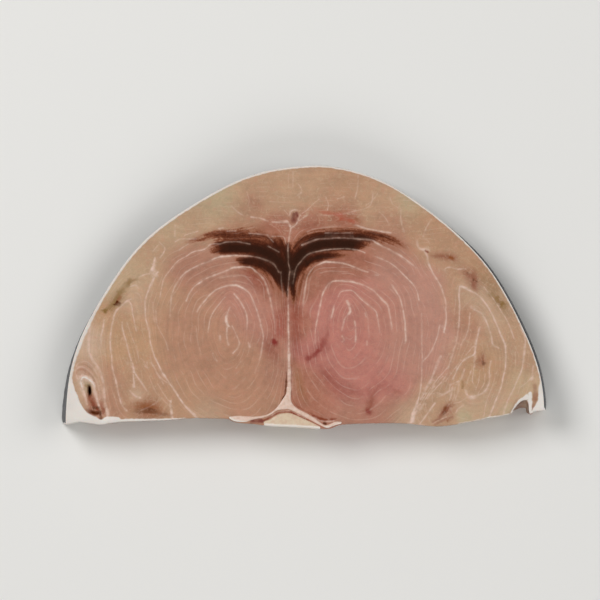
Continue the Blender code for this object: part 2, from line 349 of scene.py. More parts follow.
right_lobe = [
    (BOLD, 0.8, [(347, 301, 0.6), (349, 306), (350.3, 311), (348.6, 314)]),
    (PLAIN, 0.6, [(348.6, 314), (345, 318), (343, 325), (342, 330, 0.4)]),
    (PLAIN, 0.5, [(342, 336), (344, 340), (342, 342)]),
    (PLAIN, 0.55, [(354.6, 321), (355.7, 330), (355.4, 342, 0.8)]),
    (PLAIN, 0.6, [(334, 305), (333, 312, 0.8), (331, 318)]),
    (FINE, 0.55, [(338, 297), (341, 292), (345, 290.6), (352, 291), (357, 295), (363, 301, 0.8), (370, 306),
        (376, 312), (378, 321), (380, 332, 0.3)]),
    (FINE, 0.4, [(365, 313), (366, 317)]),
    (FINE, 0.4, [(367, 341), (367, 345)]),
    (PLAIN, 0.6, [(317, 348, 0.2), (315, 340, 0.3), (316, 326), (318, 316), (321, 302), (322, 296),
        (325, 289), (330, 283), (334, 281, 0.9), (342, 281, 0.9), (352, 282, 0.8), (360, 284), (368, 287),
        (376, 293), (382, 300), (388, 306), (390, 316), (392, 329, 0.3)]),
    (PLAIN, 0.55, [(303, 306, 0.3), (305, 289), (307, 278), (310, 272), (316, 266), (324, 262, 0.8),
        (330, 262, 0.8), (342, 263, 0.8), (352, 266), (361, 270), (368, 272)]),
    (PLAIN, 0.75, [(375.5, 275), (378.5, 275.5)]),
    (PLAIN, 0.6, [(392, 285), (397, 293), (400, 298), (403, 310, 0.8), (405, 324, 0.9), (405.7, 337, 0.8),
        (405, 343, 0.5)]),
    (FINE, 0.25, [(320, 273), (330, 271), (348, 272)]),
    (FINE, 0.55, [(294, 277), (296, 268), (302, 260), (309, 254), (320, 251, 0.8), (330, 249.4, 0.9),
        (345, 248.7, 0.8), (357, 250), (365, 253)]),
    (FINE, 0.55, [(377, 257), (388, 262), (396, 267), (402, 273), (409, 280, 0.9), (414, 286), (417, 292),
        (419, 300)]),
    (PLAIN, 0.55, [(302, 245, 0.8), (312, 241, 0.8), (320, 239), (336, 238), (348, 238), (358, 239),
        (370, 240), (377, 243, 0.8), (386, 248), (398, 254), (408, 261), (416, 268)]),
    (FINE, 0.4, [(325, 233), (341, 233), (353, 233)]),
    (PLAIN, 0.7, [(355, 225, 0.5), (365, 228), (379, 231), (391, 233)]),
    (FINE, 0.3, [(307, 232), (315, 229), (331, 227), (340, 226)]),
]
print(len(left_lobe), "strokes in the left lobe,", len(right_lobe), "in the right one")

# %% [markdown]
# Outside the lobes lie the two bellies of muscle at the sides, each with long upright loops, and between
# the two sorts run the strongest membranes of the slice. Both corners end in tight small rings.

# %% Strokes at the sides
left_belly = [
    (PLAIN, 0.8, [(155, 258), (153, 266), (150, 272)]),
    (BROAD, 0.75, [(155, 259, 0.3), (153.6, 264, 0.6), (152.4, 270), (153.4, 274.6), (156.5, 276, 0.5)]),
    (PLAIN, 0.6, [(154.5, 277), (152.6, 282, 0.7), (150.6, 287, 0.2)]),
    (PLAIN, 0.75, [(150, 272), (155, 274), (158, 272)]),
    (FINE, 0.5, [(159, 242), (165, 249), (160, 258)]),
    (FINE, 0.45, [(153, 251), (157, 246)]),
    (PLAIN, 0.6, [(153, 279), (149, 289), (146, 297), (145, 307), (146, 320), (149, 331), (151, 345),
        (154, 355), (157, 362, 0.9), (163, 373, 0.8), (170, 384), (178, 396, 0.8), (185, 406, 0.9),
        (190, 411, 1)]),
    (BOLD, 1.0, [(188, 409), (195, 415.5)]),
    (FINE, 0.4, [(151, 362), (155, 369), (161, 378), (169, 384)]),
    (FINE, 0.3, [(142, 359), (147, 368)]),
    (FINE, 0.45, [(153.5, 366), (158, 375, 0.55), (163.5, 384)]),
    (HAIR, 0.4, [(147, 362), (148, 368)]),
    (HAIR, 0.4, [(144, 361), (145, 367)]),
    (HAIR, 0.4, [(158, 384), (165, 396), (174, 408, 0.2)]),
    (FINE, 0.25, [(149, 377), (156, 392), (169, 406)]),
    (FINE, 0.25, [(153, 302), (154, 321)]),
    (FINE, 0.3, [(156, 311), (157, 324), (165, 340), (168, 350)]),
    (FINE, 0.35, [(175, 225), (175, 237)]),
    (PLAIN, 0.5, [(104, 320), (103, 327, 0.7), (101, 338), (101, 346, 0.2)]),
    (PLAIN, 0.65, [(131, 299, 0.9), (127, 301, 0.9), (122, 305), (118, 309), (115, 313), (113, 320),
        (111, 331), (110, 344), (111.5, 356), (112, 364), (113, 371), (116, 382), (119, 396), (122, 405),
        (127, 411)]),
    (FINE, 0.6, [(129, 301, 0.8), (131, 305), (133, 316), (136, 331, 0.3)]),
    (PLAIN, 0.5, [(122, 322), (123, 332), (126, 341), (129, 353), (132, 363, 0.8), (135, 373, 0.8),
        (141, 382), (147, 391)]),
    (HAIR, 0.3, [(127, 322), (131, 335), (136, 348), (139, 360)]),
    (PLAIN, 0.75, [(133.5, 372), (133.5, 379), (134.5, 387)]),
    (PLAIN, 0.5, [(130, 391), (135, 396), (140, 398, 0.8)]),
    (FINE, 0.4, [(129, 287), (136, 285), (138, 288)]),
    (FINE, 0.45, [(139, 277), (146, 274), (152, 274)]),
    (BOLD, 0.55, [(92, 316, 0.3), (90, 327, 0.4), (88.5, 345, 0.6), (91, 357, 0.65), (97, 366), (100, 372),
        (102, 378), (103.7, 385), (104.4, 395), (104.8, 402), (106, 408, 0.7), (107, 415, 0.8)]),
    (BROAD, 0.95, [(80, 379.5, 0.6), (81.3, 377), (84, 376), (87, 377.3), (90.5, 380), (93, 383)]),
    (BROAD, 0.9, [(93, 383), (94.7, 387.5), (95.4, 393), (96, 396, 0.6)]),
    (BOLD, 0.8, [(95.6, 394), (97, 399), (98.4, 404), (99.5, 409, 0.5)]),
    (BOLD, 0.75, [(79, 379), (80.4, 384), (82.6, 389), (84.3, 394), (85.5, 399), (87, 404, 0.5)]),
    (BROAD, 0.9, [(81.3, 378), (81.8, 383), (83.4, 388, 0.5)]),
    (PLAIN, 0.5, [(76.5, 375), (78, 381), (80.3, 388), (82, 394, 0.2)]),
    (PLAIN, 0.3, [(75.5, 371), (79, 367), (84, 367.5), (90, 372), (95, 379), (98.5, 388), (100, 398)]),
    (FINE, 0.32, [(76, 366), (80, 362), (86, 361.5), (92, 366), (97, 374), (100.5, 384, 0.1)]),
    (BROAD, 0.55, [(131.5, 362, 0.3), (133.3, 368), (134.5, 373, 0.3)]),
    (BROAD, 0.75, [(134, 384.3), (134.3, 387)]),
    (BROAD, 0.7, [(105.5, 407, 0.3), (107, 412), (108, 418, 0.9)]),
]
right_belly = [
    (BOLD, 0.7, [(424.5, 250.5), (427, 256), (428, 262), (430.5, 268)]),
    (PLAIN, 0.6, [(428, 262), (432, 271), (439, 283), (444, 295), (446, 308), (446, 321), (444, 332, 0.9)]),
    (FINE, 0.5, [(440, 325), (437.5, 336), (434, 345), (428, 356), (423, 361)]),
    (FINE, 0.5, [(421.6, 313, 0.3), (422, 352), (421.6, 375), (420.6, 388, 0.7), (418, 401, 0.9),
        (416, 409, 1)]),
    (BOLD, 1.0, [(418, 400, 0.8), (416, 407), (413, 414), (411, 422)]),
    (BROAD, 1.0, [(418, 403, 0.3), (416.6, 408.5, 0.9), (414, 415), (411, 423)]),
    (BROAD, 0.85, [(468, 396.2, 0.3), (472.5, 397.4), (477, 396.2, 0.3)]),
    (BROAD, 0.85, [(470.8, 307, 0.3), (473.5, 308.6), (476, 309.8, 0.3)]),
    (BOLD, 0.45, [(424, 403, 0.3), (421, 408), (417, 413, 0.2)]),
    (BOLD, 0.65, [(441, 356), (438.4, 361), (436, 367), (433.6, 373), (431, 380, 0.5), (427, 387),
        (424, 394), (420.5, 399)]),
    (FINE, 0.55, [(436.5, 340), (434, 345), (432, 352, 0.2)]),
    (FINE, 0.55, [(447, 368), (442, 374), (437.5, 379), (433, 387), (428.5, 394), (424, 401)]),
    (FINE, 0.6, [(447, 374), (442, 382), (436, 388), (431, 394), (427, 399)]),
    (FINE, 0.45, [(450, 384), (449, 391), (447, 392)]),
    (FINE, 0.5, [(457, 382), (450.5, 385), (449.5, 390)]),
    (PLAIN, 0.5, [(453, 388), (451, 395), (449.3, 400)]),
    (FINE, 0.45, [(459, 391), (456.5, 396), (455, 400)]),
    (FINE, 0.4, [(464, 369), (462, 375), (459.5, 381), (456, 385)]),
    (PLAIN, 0.55, [(449, 404.3), (447, 407)]),
    (PLAIN, 0.7, [(435, 403), (430, 410), (423, 420), (419, 425)]),
    (FINE, 0.45, [(464, 405), (458, 409), (456, 413)]),
    (FINE, 0.4, [(447, 417), (439, 420), (432, 424)]),
    (FINE, 0.45, [(417, 405), (426, 404)]),
    (PLAIN, 0.75, [(460, 286, 0.9), (469, 290, 0.9), (478, 295), (486, 304), (492, 314), (497, 325),
        (501, 335), (505, 345), (506, 358), (505, 370), (503, 378), (501, 388), (496, 400), (492, 410),
        (489, 418)]),
    (BOLD, 0.8, [(460, 286), (465, 287.8), (472, 291.5, 0.5)]),
    (PLAIN, 0.65, [(460, 286, 0.9), (459, 296), (459.6, 309), (459, 322), (458, 330, 0.4), (456, 343, 0.4),
        (452, 356, 0.5), (448, 369, 0.5)]),
    (BOLD, 0.8, [(471.3, 307), (473.5, 309), (476.5, 310)]),
    (PLAIN, 0.6, [(471, 308, 0.7), (476, 310), (482, 314), (487, 323), (491, 335), (493, 344), (499, 348)]),
    (FINE, 0.5, [(470, 313), (469, 326), (466, 336), (461, 345)]),
    (PLAIN, 0.7, [(480, 327), (478, 334), (476, 344, 0.9), (475, 351), (473, 355, 0.9), (467, 358),
        (462, 362), (457, 370), (453, 379)]),
    (BOLD, 0.8, [(477, 338, 0.4), (475.7, 344), (475, 350, 0.6)]),
    (BOLD, 0.5, [(475, 352), (474.8, 359), (474, 367)]),
    (BOLD, 0.75, [(466, 391, 0.6), (467.4, 395.4), (472.5, 396.8, 1), (478, 395.4, 0.6)]),
    (PLAIN, 0.65, [(490, 364, 0.3), (489.6, 369.5), (489.4, 376, 0.3)]),
    (FINE, 0.45, [(472.6, 347), (466, 355)]),
    (PLAIN, 0.6, [(491, 361), (489.5, 370, 0.8), (489.5, 381), (486, 390), (479, 395), (473, 397, 0.8),
        (467, 395), (465, 390)]),
    (FINE, 0.5, [(465, 369), (461, 379), (453, 384)]),
    (FINE, 0.45, [(471, 371), (467, 384)]),
    (HAIR, 0.5, [(473.7, 359), (473.6, 369), (472.5, 380), (475, 387, 0.3)]),
    (HAIR, 0.45, [(480, 370, 0.2), (478.6, 382), (475.8, 390)]),
    (HAIR, 0.45, [(485, 374), (483.8, 384), (479, 391.5, 0.3)]),
    (HAIR, 0.5, [(447.6, 367, 0.2), (440, 376), (433, 384.5), (425, 396), (420, 404)]),
    (HAIR, 0.45, [(442.5, 376.5), (432, 390), (426.5, 398.5)]),
    (HAIR, 0.5, [(453, 385.5), (450, 391), (443, 395), (437, 397.5, 0.3)]),
    (HAIR, 0.45, [(455, 389), (454, 397), (451.5, 403)]),
    (HAIR, 0.45, [(433, 394), (438, 392.5), (445, 395.5)]),
    (HAIR, 0.4, [(461, 360, 0.2), (453, 371), (446, 381)]),
    (HAIR, 0.4, [(466, 398, 0.2), (460, 402), (454, 403.4)]),
    (HAIR, 0.4, [(497, 371, 0.2), (493, 385), (487, 400), (484, 415)]),
    (FINE, 0.45, [(509, 399, 0.2), (504.5, 408), (502.5, 417)]),
    (FINE, 0.4, [(451, 390), (450, 399)]),
    (FINE, 0.4, [(459, 384), (457, 395)]),
    (FINE, 0.45, [(449, 391), (443, 394), (437, 394)]),
    (FINE, 0.45, [(446, 273), (445, 269), (450, 267), (457, 269), (466, 269)]),
    (FINE, 0.5, [(484, 287), (491, 296), (500, 309), (508, 323), (514, 338)]),
    (PLAIN, 0.7, [(520, 325), (525, 338), (524.6, 352), (523.4, 360), (522, 369), (518, 379), (513, 390),
        (508, 400), (505, 409)]),
    (BOLD, 0.7, [(525, 345, 0.3), (524.4, 353), (523, 362, 0.4)]),
    (HAIR, 0.3, [(515.5, 352), (515.5, 366)]),
    (PLAIN, 0.6, [(533.5, 366, 0.3), (532.5, 372), (532.8, 376, 0.9), (530, 379)]),
    (BOLD, 0.7, [(532.6, 374, 0.3), (532.4, 377.5), (530.6, 379.6, 0.4)]),
    (FINE, 0.35, [(530, 379), (526, 383), (521, 387)]),
]
print(len(left_belly), "strokes on the left,", len(right_belly), "on the right")

# %% [markdown]
# Under the arch the muscle is plain, with a few short torn ends of membrane. A blood vessel sits above
# the fork of the median septum, the membrane that parts the two lobes. Along the straight edge the
# knife left strips of white fascia.

# %% Strokes in the band, along the middle and at the edge
band = [
    (FINE, 0.4, [(231, 206), (238, 212), (243, 215)]),
    (PLAIN, 0.5, [(251, 217, 0.9), (260, 218), (268, 221)]),
    (PLAIN, 0.6, [(272, 222), (287, 222)]),
    (FINE, 0.4, [(358, 175), (358, 183), (357, 191), (355, 199)]),
    (FINE, 0.35, [(373, 192), (372, 201), (368, 207), (355, 211), (337, 215), (320, 215)]),
    (FINE, 0.4, [(337, 199), (344, 197)]),
    (FINE, 0.3, [(379, 212), (385, 217), (389, 224)]),
    (FINE, 0.4, [(401, 208), (401, 220), (404, 232)]),
    (FINE, 0.45, [(431, 219), (426, 228), (423, 237)]),
    (BOLD, 0.45, [(417, 241, 0.2), (418, 246.5), (422, 249.3, 0.6), (426.5, 248.8, 0.5), (429.5, 250)]),
    (FINE, 0.25, [(421, 239), (427, 239.5), (430, 244)]),
    (FINE, 0.4, [(298, 195), (302, 192)]),
    (PLAIN, 0.6, [(289.5, 216, 0.3), (290, 213), (292, 210.6), (295, 209.8), (298, 210.6, 0.2)]),
    (PLAIN, 0.7, [(280, 221, 0.4), (287, 221), (289, 224), (291, 228)]),
    (FINE, 0.65, [(300, 214, 0.2), (298.5, 220), (295, 225), (291, 228)]),
    (FINE, 0.5, [(299, 221), (306, 216)]),
    (HAIR, 0.45, [(299, 217), (303, 213)]),
    (HAIR, 0.35, [(293, 172), (293, 181), (292.5, 190, 0.1)]),
    (HAIR, 0.35, [(298.5, 184), (302, 191), (299, 198)]),
    (HAIR, 0.3, [(288.5, 174), (288.5, 187, 0.1)]),
    (HAIR, 0.35, [(306, 211), (312, 205), (319, 199)]),
    (HAIR, 0.4, [(326, 197), (328.5, 204), (327.5, 210)]),
    (HAIR, 0.3, [(366, 205), (373, 200), (378, 193)]),
    (HAIR, 0.3, [(247, 192), (249, 200), (248, 206)]),
    (HAIR, 0.3, [(389, 196), (393, 204), (400, 209)]),
    (HAIR, 0.45, [(284, 210), (289, 216)]),
]
middle = [
    (FINE, 0.6, [(291, 228), (289.3, 237), (288, 245, 0.9), (288, 254), (288.5, 263), (289.6, 271, 0.9),
        (288.6, 280), (288, 292), (288.2, 304)]),
    (PLAIN, 0.85, [(288.2, 302), (288.4, 320), (288.6, 340), (288.8, 352)]),
    (BOLD, 0.9, [(288.7, 340, 0.6), (288.8, 356, 0.8), (288.9, 378), (288.9, 394)]),
    (1.0, 0.95, [(288.9, 366, 0.3), (288.95, 376), (288.95, 394)]),
    (FINE, 0.35, [(281, 272), (281.5, 282), (283, 296, 0.2)]),
    (FINE, 0.35, [(294, 277), (293, 284, 0.2)]),
]
edges = [
    (BOLD, 0.9, [(172, 418), (172.3, 421)]),
    (BOLD, 0.5, [(408, 423.5), (418, 425.5), (430, 426, 0.3)]),
    (HAIR, 0.8, [(266, 419), (271, 416.2), (277, 412.8), (283, 411.4), (290, 411.2), (298, 414.8),
        (306, 418.8)]),
    (PLAIN, 0.6, [(311, 416.4), (319, 420.2), (327, 421.4), (334, 420.6)]),
]
print(len(band) + len(middle) + len(edges), "more strokes")

# %% [markdown]
# Strokes that reach the straight edge go on down its wall, because a membrane is a sheet and the cut
# edge shows only one line of it. They are lengthened past the edge for that. Noise makes each stroke
# sway, swell and fade a little on its way. All the strokes then become one long list of samples, and a
# k-d tree finds the sample nearest to any place.

# %% One list of samples
FRONT_REACH = 4.0
STROKE_STEP = 0.25
SWAY, SWAY_LENGTH = 0.17, 4.0
FADE_LENGTH = 3.0

front_order = np.argsort(top_front[:, 0])


def front_distance(places):
    """How far places lie inside the front edge."""
    return places[:, 1] - np.interp(places[:, 0], *top_front[front_order].T)


def sampled(half_width, strength, pixels, fading=0.5):
    """A stroke as rows of x, y, half width and strength."""
    rows = [(pixel[0], pixel[1], half_width, pixel[2] if len(pixel) > 2 else strength) for pixel in pixels]
    points = on_steak(rows)
    for end, before in ((0, 1), (-1, -2)):
        gap = points[end, :2] - points[before, :2]
        if front_distance(points[[end]])[0] < FRONT_REACH and abs(gap[1]) > abs(gap[0]):
            longer = points[end].copy()
            longer[:2] += gap / np.linalg.norm(gap) * 2.0 * FRONT_REACH
            points = np.insert(points, 0 if end == 0 else len(points), longer, axis=0)
    curve = smooth_through(points, STROKE_STEP)
    here = flat(curve[:, :2])
    curve[:, 0] += SWAY * cloud(here, SWAY_LENGTH, 2)
    curve[:, 1] += SWAY * cloud(here + 50.0, SWAY_LENGTH, 2)
    curve[:, 2] *= 1.0 + 0.3 * cloud(here + 20.0, FADE_LENGTH, 2)
    curve[:, 3] = np.clip(curve[:, 3] * (1.0 + fading * cloud(here + 90.0, FADE_LENGTH, 3)), 0.0, 1.0)
    return curve


class Strokes:
    """Drawn strokes that can tell how near any place is."""

    def __init__(self, strokes):
        self.lines = [sampled(*stroke) for stroke in strokes]
        self.samples = np.concatenate(self.lines)
        self.tree = tree_of(self.samples)

    def near(self, places):
        """For each place: distance over half width, and the number of the nearest sample."""
        away, numbers = nearest(self.tree, places)
        return away / self.samples[numbers, 2], numbers


membranes = Strokes(left_lobe + right_lobe + left_belly + right_belly + band + middle + edges)
print(len(membranes.samples), "samples on", round(sum(map(length_of, membranes.lines))), "mm of membrane")

# %% [markdown]
# ## The colours of the flesh
# Hex values are the easiest way to note a colour seen on a screen, but shaders work with linear light,
# so one function turns them over. The flesh of one slice runs from greenish fat under the skin through
# fawn and tan to a rosy core. A short palette names these tones, and each zone of the slice says which
# tone it has, where its middle is and how far it spreads. Soft bells blend neighbouring zones, the way
# the fish does, and a weak, wide bell to each fills the gaps between them.

# %% Palette and zones
def linear(hex_colour):
    """An sRGB hex value as linear red, green, blue."""
    parts = [int(hex_colour[start:start + 2], 16) / 255 for start in (1, 3, 5)]
    return tuple(part / 12.92 if part <= 0.04045 else ((part + 0.055) / 1.055) ** 2.4 for part in parts)


TONES = {
    "sage": "#BAA887", "straw": "#BEA181", "fawn": "#B89375", "honey": "#BA926F", "sand": "#B78E6F",
    "tan": "#B28368", "copper": "#AA7862", "salmon": "#B77F6D", "rose": "#B9776A",
    "blush": "#B88472", "brick": "#A25C4B", "russet": "#A46A54", "umber": "#8C5D46", "oat": "#BE9C80",
    "shell": "#CBAD95", "clay": "#AB6F58", "olive": "#A89777", "petal": "#C08F7D", "rust_pink": "#AB745D",
}
ZONES = [
    ("sage", (212, 202), 6), ("straw", (130, 268), 6), ("sage", (410, 203), 4),
    ("straw", (170, 228), 6), ("fawn", (200, 217), 7), ("fawn", (245, 190), 8), ("tan", (250, 202), 4),
    ("fawn", (300, 182), 8), ("sand", (345, 186), 8), ("tan", (338, 204), 4), ("fawn", (380, 198), 6),
    ("clay", (345, 217), 3.5), ("sand", (425, 220), 7), ("sand", (470, 262), 6),
    ("sand", (440, 240), 5), ("russet", (310, 222), 4), ("russet", (278, 229), 4),
    ("tan", (390, 219), 4), ("fawn", (230, 218), 5), ("fawn", (150, 250), 6), ("tan", (190, 345), 12),
    ("sand", (170, 395), 8), ("sand", (160, 300), 5), ("tan", (215, 345), 8), ("copper", (225, 268), 5),
    ("salmon", (248, 312), 7), ("tan", (245, 390), 9), ("copper", (272, 375), 4),
    ("russet", (268, 292), 4), ("brick", (281, 322), 3), ("oat", (210, 413), 4),
    ("copper", (190, 262), 6), ("rose", (350, 325), 10), ("rose", (352, 383), 8),
    ("rose", (385, 385), 6), ("blush", (415, 345), 9), ("salmon", (375, 312), 6),
    ("blush", (428, 300), 6), ("clay", (298, 325), 3.5), ("russet", (330, 266), 5),
    ("russet", (308, 285), 4), ("blush", (394, 272), 5), ("copper", (392, 247), 5),
    ("clay", (318, 398), 6), ("copper", (350, 413), 5), ("oat", (403, 413), 3.5),
    ("rose", (318, 350), 4), ("clay", (298, 385), 4), ("shell", (92, 342), 4), ("honey", (120, 340), 7),
    ("oat", (140, 298), 5), ("tan", (112, 400), 4), ("honey", (145, 345), 6), ("sand", (135, 385), 6),
    ("tan", (110, 380), 4), ("umber", (150, 409), 3), ("oat", (83, 368), 4), ("olive", (87, 383), 2),
    ("oat", (97, 380), 3), ("rust_pink", (92, 403), 2), ("salmon", (241, 300), 4),
    ("brick", (297, 322), 2.5), ("russet", (358, 261), 4), ("rose", (331, 350), 4),
    ("copper", (388, 408), 4), ("petal", (430, 300), 5), ("sage", (225, 196), 5),
    ("straw", (118, 278), 4), ("tan", (465, 322), 4), ("oat", (492, 312), 4), ("honey", (480, 375), 6),
    ("oat", (478, 402), 4), ("petal", (445, 345), 5), ("fawn", (508, 345), 5), ("oat", (497, 400), 4),
    ("straw", (516, 384), 4), ("sage", (508, 411), 2), ("oat", (470, 292), 4), ("fawn", (435, 400), 5),
    ("sand", (452, 295), 4), ("sand", (500, 375), 4), ("fawn", (530, 362), 3),
    ("sage", (466, 415), 1.6), ("straw", (482, 411), 3), ("petal", (84, 371), 2.5),
    ("brick", (259, 277), 2.5), ("sand", (458, 353), 4), ("shell", (137, 393), 2),
    ("oat", (84, 404), 1.5), ("oat", (79, 392), 2),
]
FAR_WEIGHT, FAR_REACH, NOWHERE = 1e-3, 3.0, 1e-9

zone_places = on_steak([place for _, place, _ in ZONES])
zone_spreads = np.array([spread for _, _, spread in ZONES])
zone_colours = np.array([linear(TONES[tone]) for tone, _, _ in ZONES])


def flesh_tone(places):
    """The soft ground colour of the flesh at each place."""
    away = np.linalg.norm(places[:, None] - zone_places, axis=2) / zone_spreads
    weight = np.exp(-0.5 * away ** 2) + FAR_WEIGHT * np.exp(-0.5 * (away / FAR_REACH) ** 2) + NOWHERE
    return weight @ zone_colours / weight.sum(axis=1, keepdims=True)


print(len(ZONES), "zones share", len(TONES), "tones")

# %% [markdown]
# Blood leaves its own marks: small vessels in the right lobe, spots of bruising, and olive-brown traces
# of dark muscle at the sides. They are drawn as strokes too, each with the colour it stains the flesh.
# The dark strokes inside the notch at the right corner and in the pit at the left one are partly
# painted shade of those recesses.

# %% Stains
BLOOD, RUST, BRUISE, CORAL = "#86302A", "#85402A", "#7C4238", "#B0523A"
OLIVE, AMBER, BARK = "#7E5C20", "#8C4E26", "#56280F"
STAINS = [
    (BLOOD, (0.85, 0.72, [(307, 359, 0.3), (310, 357.6, 0.55), (313, 356), (318, 351.5),
        (321.5, 346.5, 0.5), (325, 340, 0.3), (328, 332, 0.25), (329, 324, 0.05)])),
    (BLOOD, (1.2, 0.14, [(322, 363, 0.05), (327, 372), (332, 380), (340, 388, 0.05)])),
    (BLOOD, (0.9, 0.85, [(274.5, 341.5), (275.5, 342.5)])),
    (BLOOD, (1.0, 0.66, [(367.8, 408.5, 0.4), (368, 411), (369.5, 413)])),
    (RUST, (0.7, 0.22, [(370, 407), (371.5, 400), (374, 393, 0.05)])),
    (RUST, (0.9, 0.25, [(392, 391, 0.05), (398, 391.5), (404, 392, 0.05)])),
    (OLIVE, (1.2, 0.45, [(110, 307, 0.3), (113, 305), (117, 298), (120, 293), (125, 287, 0.4),
        (131, 281, 0.6)])),
    (BARK, (1.15, 0.95, [(113.6, 304.2), (115.5, 302.5), (117.8, 301)])),
    (AMBER, (0.7, 0.6, [(118, 300), (120, 296.5)])),
    (OLIVE, (0.8, 0.95, [(104.5, 311), (106, 310.3)])),
    (OLIVE, (0.5, 0.5, [(129, 283), (134, 280), (138, 279, 0.2)])),
    (RUST, (0.8, 0.45, [(463.5, 271.5, 0.2), (468.5, 275), (472.5, 277.5)])),
    (RUST, (1.0, 0.45, [(474, 272, 0.15), (475, 279), (474, 286), (477.5, 291, 0.2)])),
    (BARK, (0.6, 0.6, [(467, 273.5), (469, 274.6)])),
    (BARK, (0.6, 0.7, [(473.3, 279.3), (475.7, 281)])),
    (RUST, (0.5, 0.3, [(432, 256.3, 0.1), (441, 256), (447, 256.5)])),
    (AMBER, (0.75, 0.85, [(450, 257.3), (452.5, 258)])),
    (RUST, (0.45, 0.8, [(425.8, 250.8), (428, 252)])),
    (OLIVE, (1.3, 0.7, [(491, 294.5, 0.3), (495, 297.5, 0.5), (498.3, 301), (501, 303.5),
        (504, 306.5, 0.3)])),
    (BARK, (0.5, 0.4, [(498.5, 301), (500.5, 303.3)])),
    (BARK, (0.75, 0.85, [(483.1, 361.6), (483.8, 363.6)])),
    (RUST, (0.6, 0.4, [(483, 352, 0.1), (483.2, 357)])),
    (AMBER, (1.3, 0.75, [(451, 404, 0.3), (447, 408.5), (443, 413, 0.9), (440, 417, 0.3)])),
    (BARK, (0.6, 0.6, [(448.5, 407), (445, 411), (441.5, 416, 0.3)])),
    (RUST, (0.6, 0.6, [(450, 405, 0.3), (446.5, 409.5), (442.5, 413, 0.8), (439, 417.5, 0.2)])),
    (AMBER, (0.8, 0.7, [(450, 419.5, 0.3), (447.5, 420.5)])),
    (RUST, (0.45, 0.35, [(453, 417), (444, 420), (435, 424.5)])),
    (RUST, (0.45, 0.35, [(441, 417.5), (433, 422)])),
    (OLIVE, (0.5, 0.5, [(463, 382), (462.5, 388)])),
    (AMBER, (0.6, 0.45, [(130, 403.5, 0.05), (140, 403.5), (150, 404.5, 0.1)])),
    (AMBER, (0.6, 0.6, [(132, 406.5, 0.1), (141, 406.3), (149, 407), (156, 408.5, 0.1)])),
    (BARK, (0.65, 0.5, [(140, 409.5, 0.1), (146, 408.6), (152, 409.7), (160, 412, 0.1)])),
    (BARK, (0.6, 0.42, [(136, 412, 0.1), (144, 411.6), (152, 412.4), (160, 413.6, 0.4),
        (172, 415.4, 0.1)])),
    (AMBER, (0.5, 0.5, [(134, 404.8, 0.1), (143, 405.2), (152, 406.3), (160, 409, 0.1)])),
    (BRUISE, (1.15, 0.7, [(294.6, 214.5), (294.8, 217), (294.4, 220)])),
    (BRUISE, (0.6, 0.95, [(296.4, 213.2), (297.2, 216)])),
    (BARK, (0.3, 0.9, [(286.5, 372, 0.3), (286.2, 383), (285.5, 391), (284.2, 396.3), (281, 401.5, 0.3)])),
    (RUST, (0.25, 0.5, [(291.4, 365), (291.5, 385), (291.4, 396), (296, 404.8), (304, 410), (313, 414.5)])),
    (RUST, (0.45, 0.85, [(313, 415.4), (321, 418.7), (330, 419.6), (336, 419)])),
    (RUST, (0.3, 0.8, [(264, 420), (271, 416.9), (277, 413.4), (283, 412), (290, 411.8), (298, 415.4),
        (308, 420.6)])),
    (BRUISE, (0.9, 0.9, [(252.5, 420.4), (258, 421), (263.5, 421.2)])),
    (BARK, (0.45, 0.9, [(323.7, 423.4), (325.7, 424)])),
    (RUST, (0.9, 0.5, [(535, 385, 0.3), (535.6, 393), (535, 399), (533.6, 406, 0.4)])),
    # inside the notch: its brown flesh, darkened further as painted shade of the recess
    (BARK, (1.1, 0.8, [(519, 409), (521.5, 404), (524.5, 402.5), (526.5, 407)])),
    # the slit of the deep pit: dark blood, and painted shade of the slit's depth
    (BARK, (0.5, 0.8, [(89.2, 387.6), (89.5, 390.5), (89.7, 394)])),
    (RUST, (0.9, 0.75, [(89.5, 396.5), (91.5, 401), (94, 405), (97, 408)])),
    (BARK, (0.5, 0.6, [(91.3, 401.5), (92.3, 402.6)])),
    (BARK, (0.55, 0.6, [(94, 407.8), (97.5, 407.5)])),
    (OLIVE, (0.55, 0.5, [(85.3, 385.6), (87, 386.2)])),
    (AMBER, (0.4, 0.34, [(76, 373, 0.05), (79, 369.6), (84, 370), (90, 374.6), (95, 382.6),
        (97.6, 392, 0.05)])),
    (OLIVE, (0.35, 0.3, [(78, 364.8, 0.05), (84, 364.2), (91, 368.8), (96.6, 377.6, 0.05)])),
    (BARK, (0.85, 0.8, [(87.5, 410, 0.3), (91, 412), (96, 413.2), (100, 413.4), (100.6, 416.4)])),
    (RUST, (0.5, 0.7, [(100.8, 402, 0.2), (101.7, 406), (103.5, 410), (103, 414)])),
    (CORAL, (0.7, 0.52, [(318, 210.5, 0.1), (325, 212.5), (332, 213.5), (340, 215), (346, 216, 0.2)])),
    (CORAL, (0.8, 0.52, [(334, 218.5, 0.1), (344, 219), (352, 221), (357, 222, 0.1)])),
    (AMBER, (0.9, 0.4, [(350, 216, 0.1), (356, 220), (361, 224, 0.1)])),
]
stains = Strokes([stroke for _, stroke in STAINS])
lengths = [len(line) for line in stains.lines]
stain_colours = np.repeat([linear(colour) for colour, _ in STAINS], lengths, axis=0)
print(len(STAINS), "stains")

# %% [markdown]
# The red-brown dark muscle, rich in blood, spreads like two wings from the top of the septum. It has no
# clear border, so it is laid on with a soft brush. Each brush stroke has half its width in millimetres,
# how soft its border is, how dark it is, and the pixels it passes. Pressed lightly, the brush also gets
# narrower. Where two strokes cross, the flesh gets darker, as it does under a real brush.

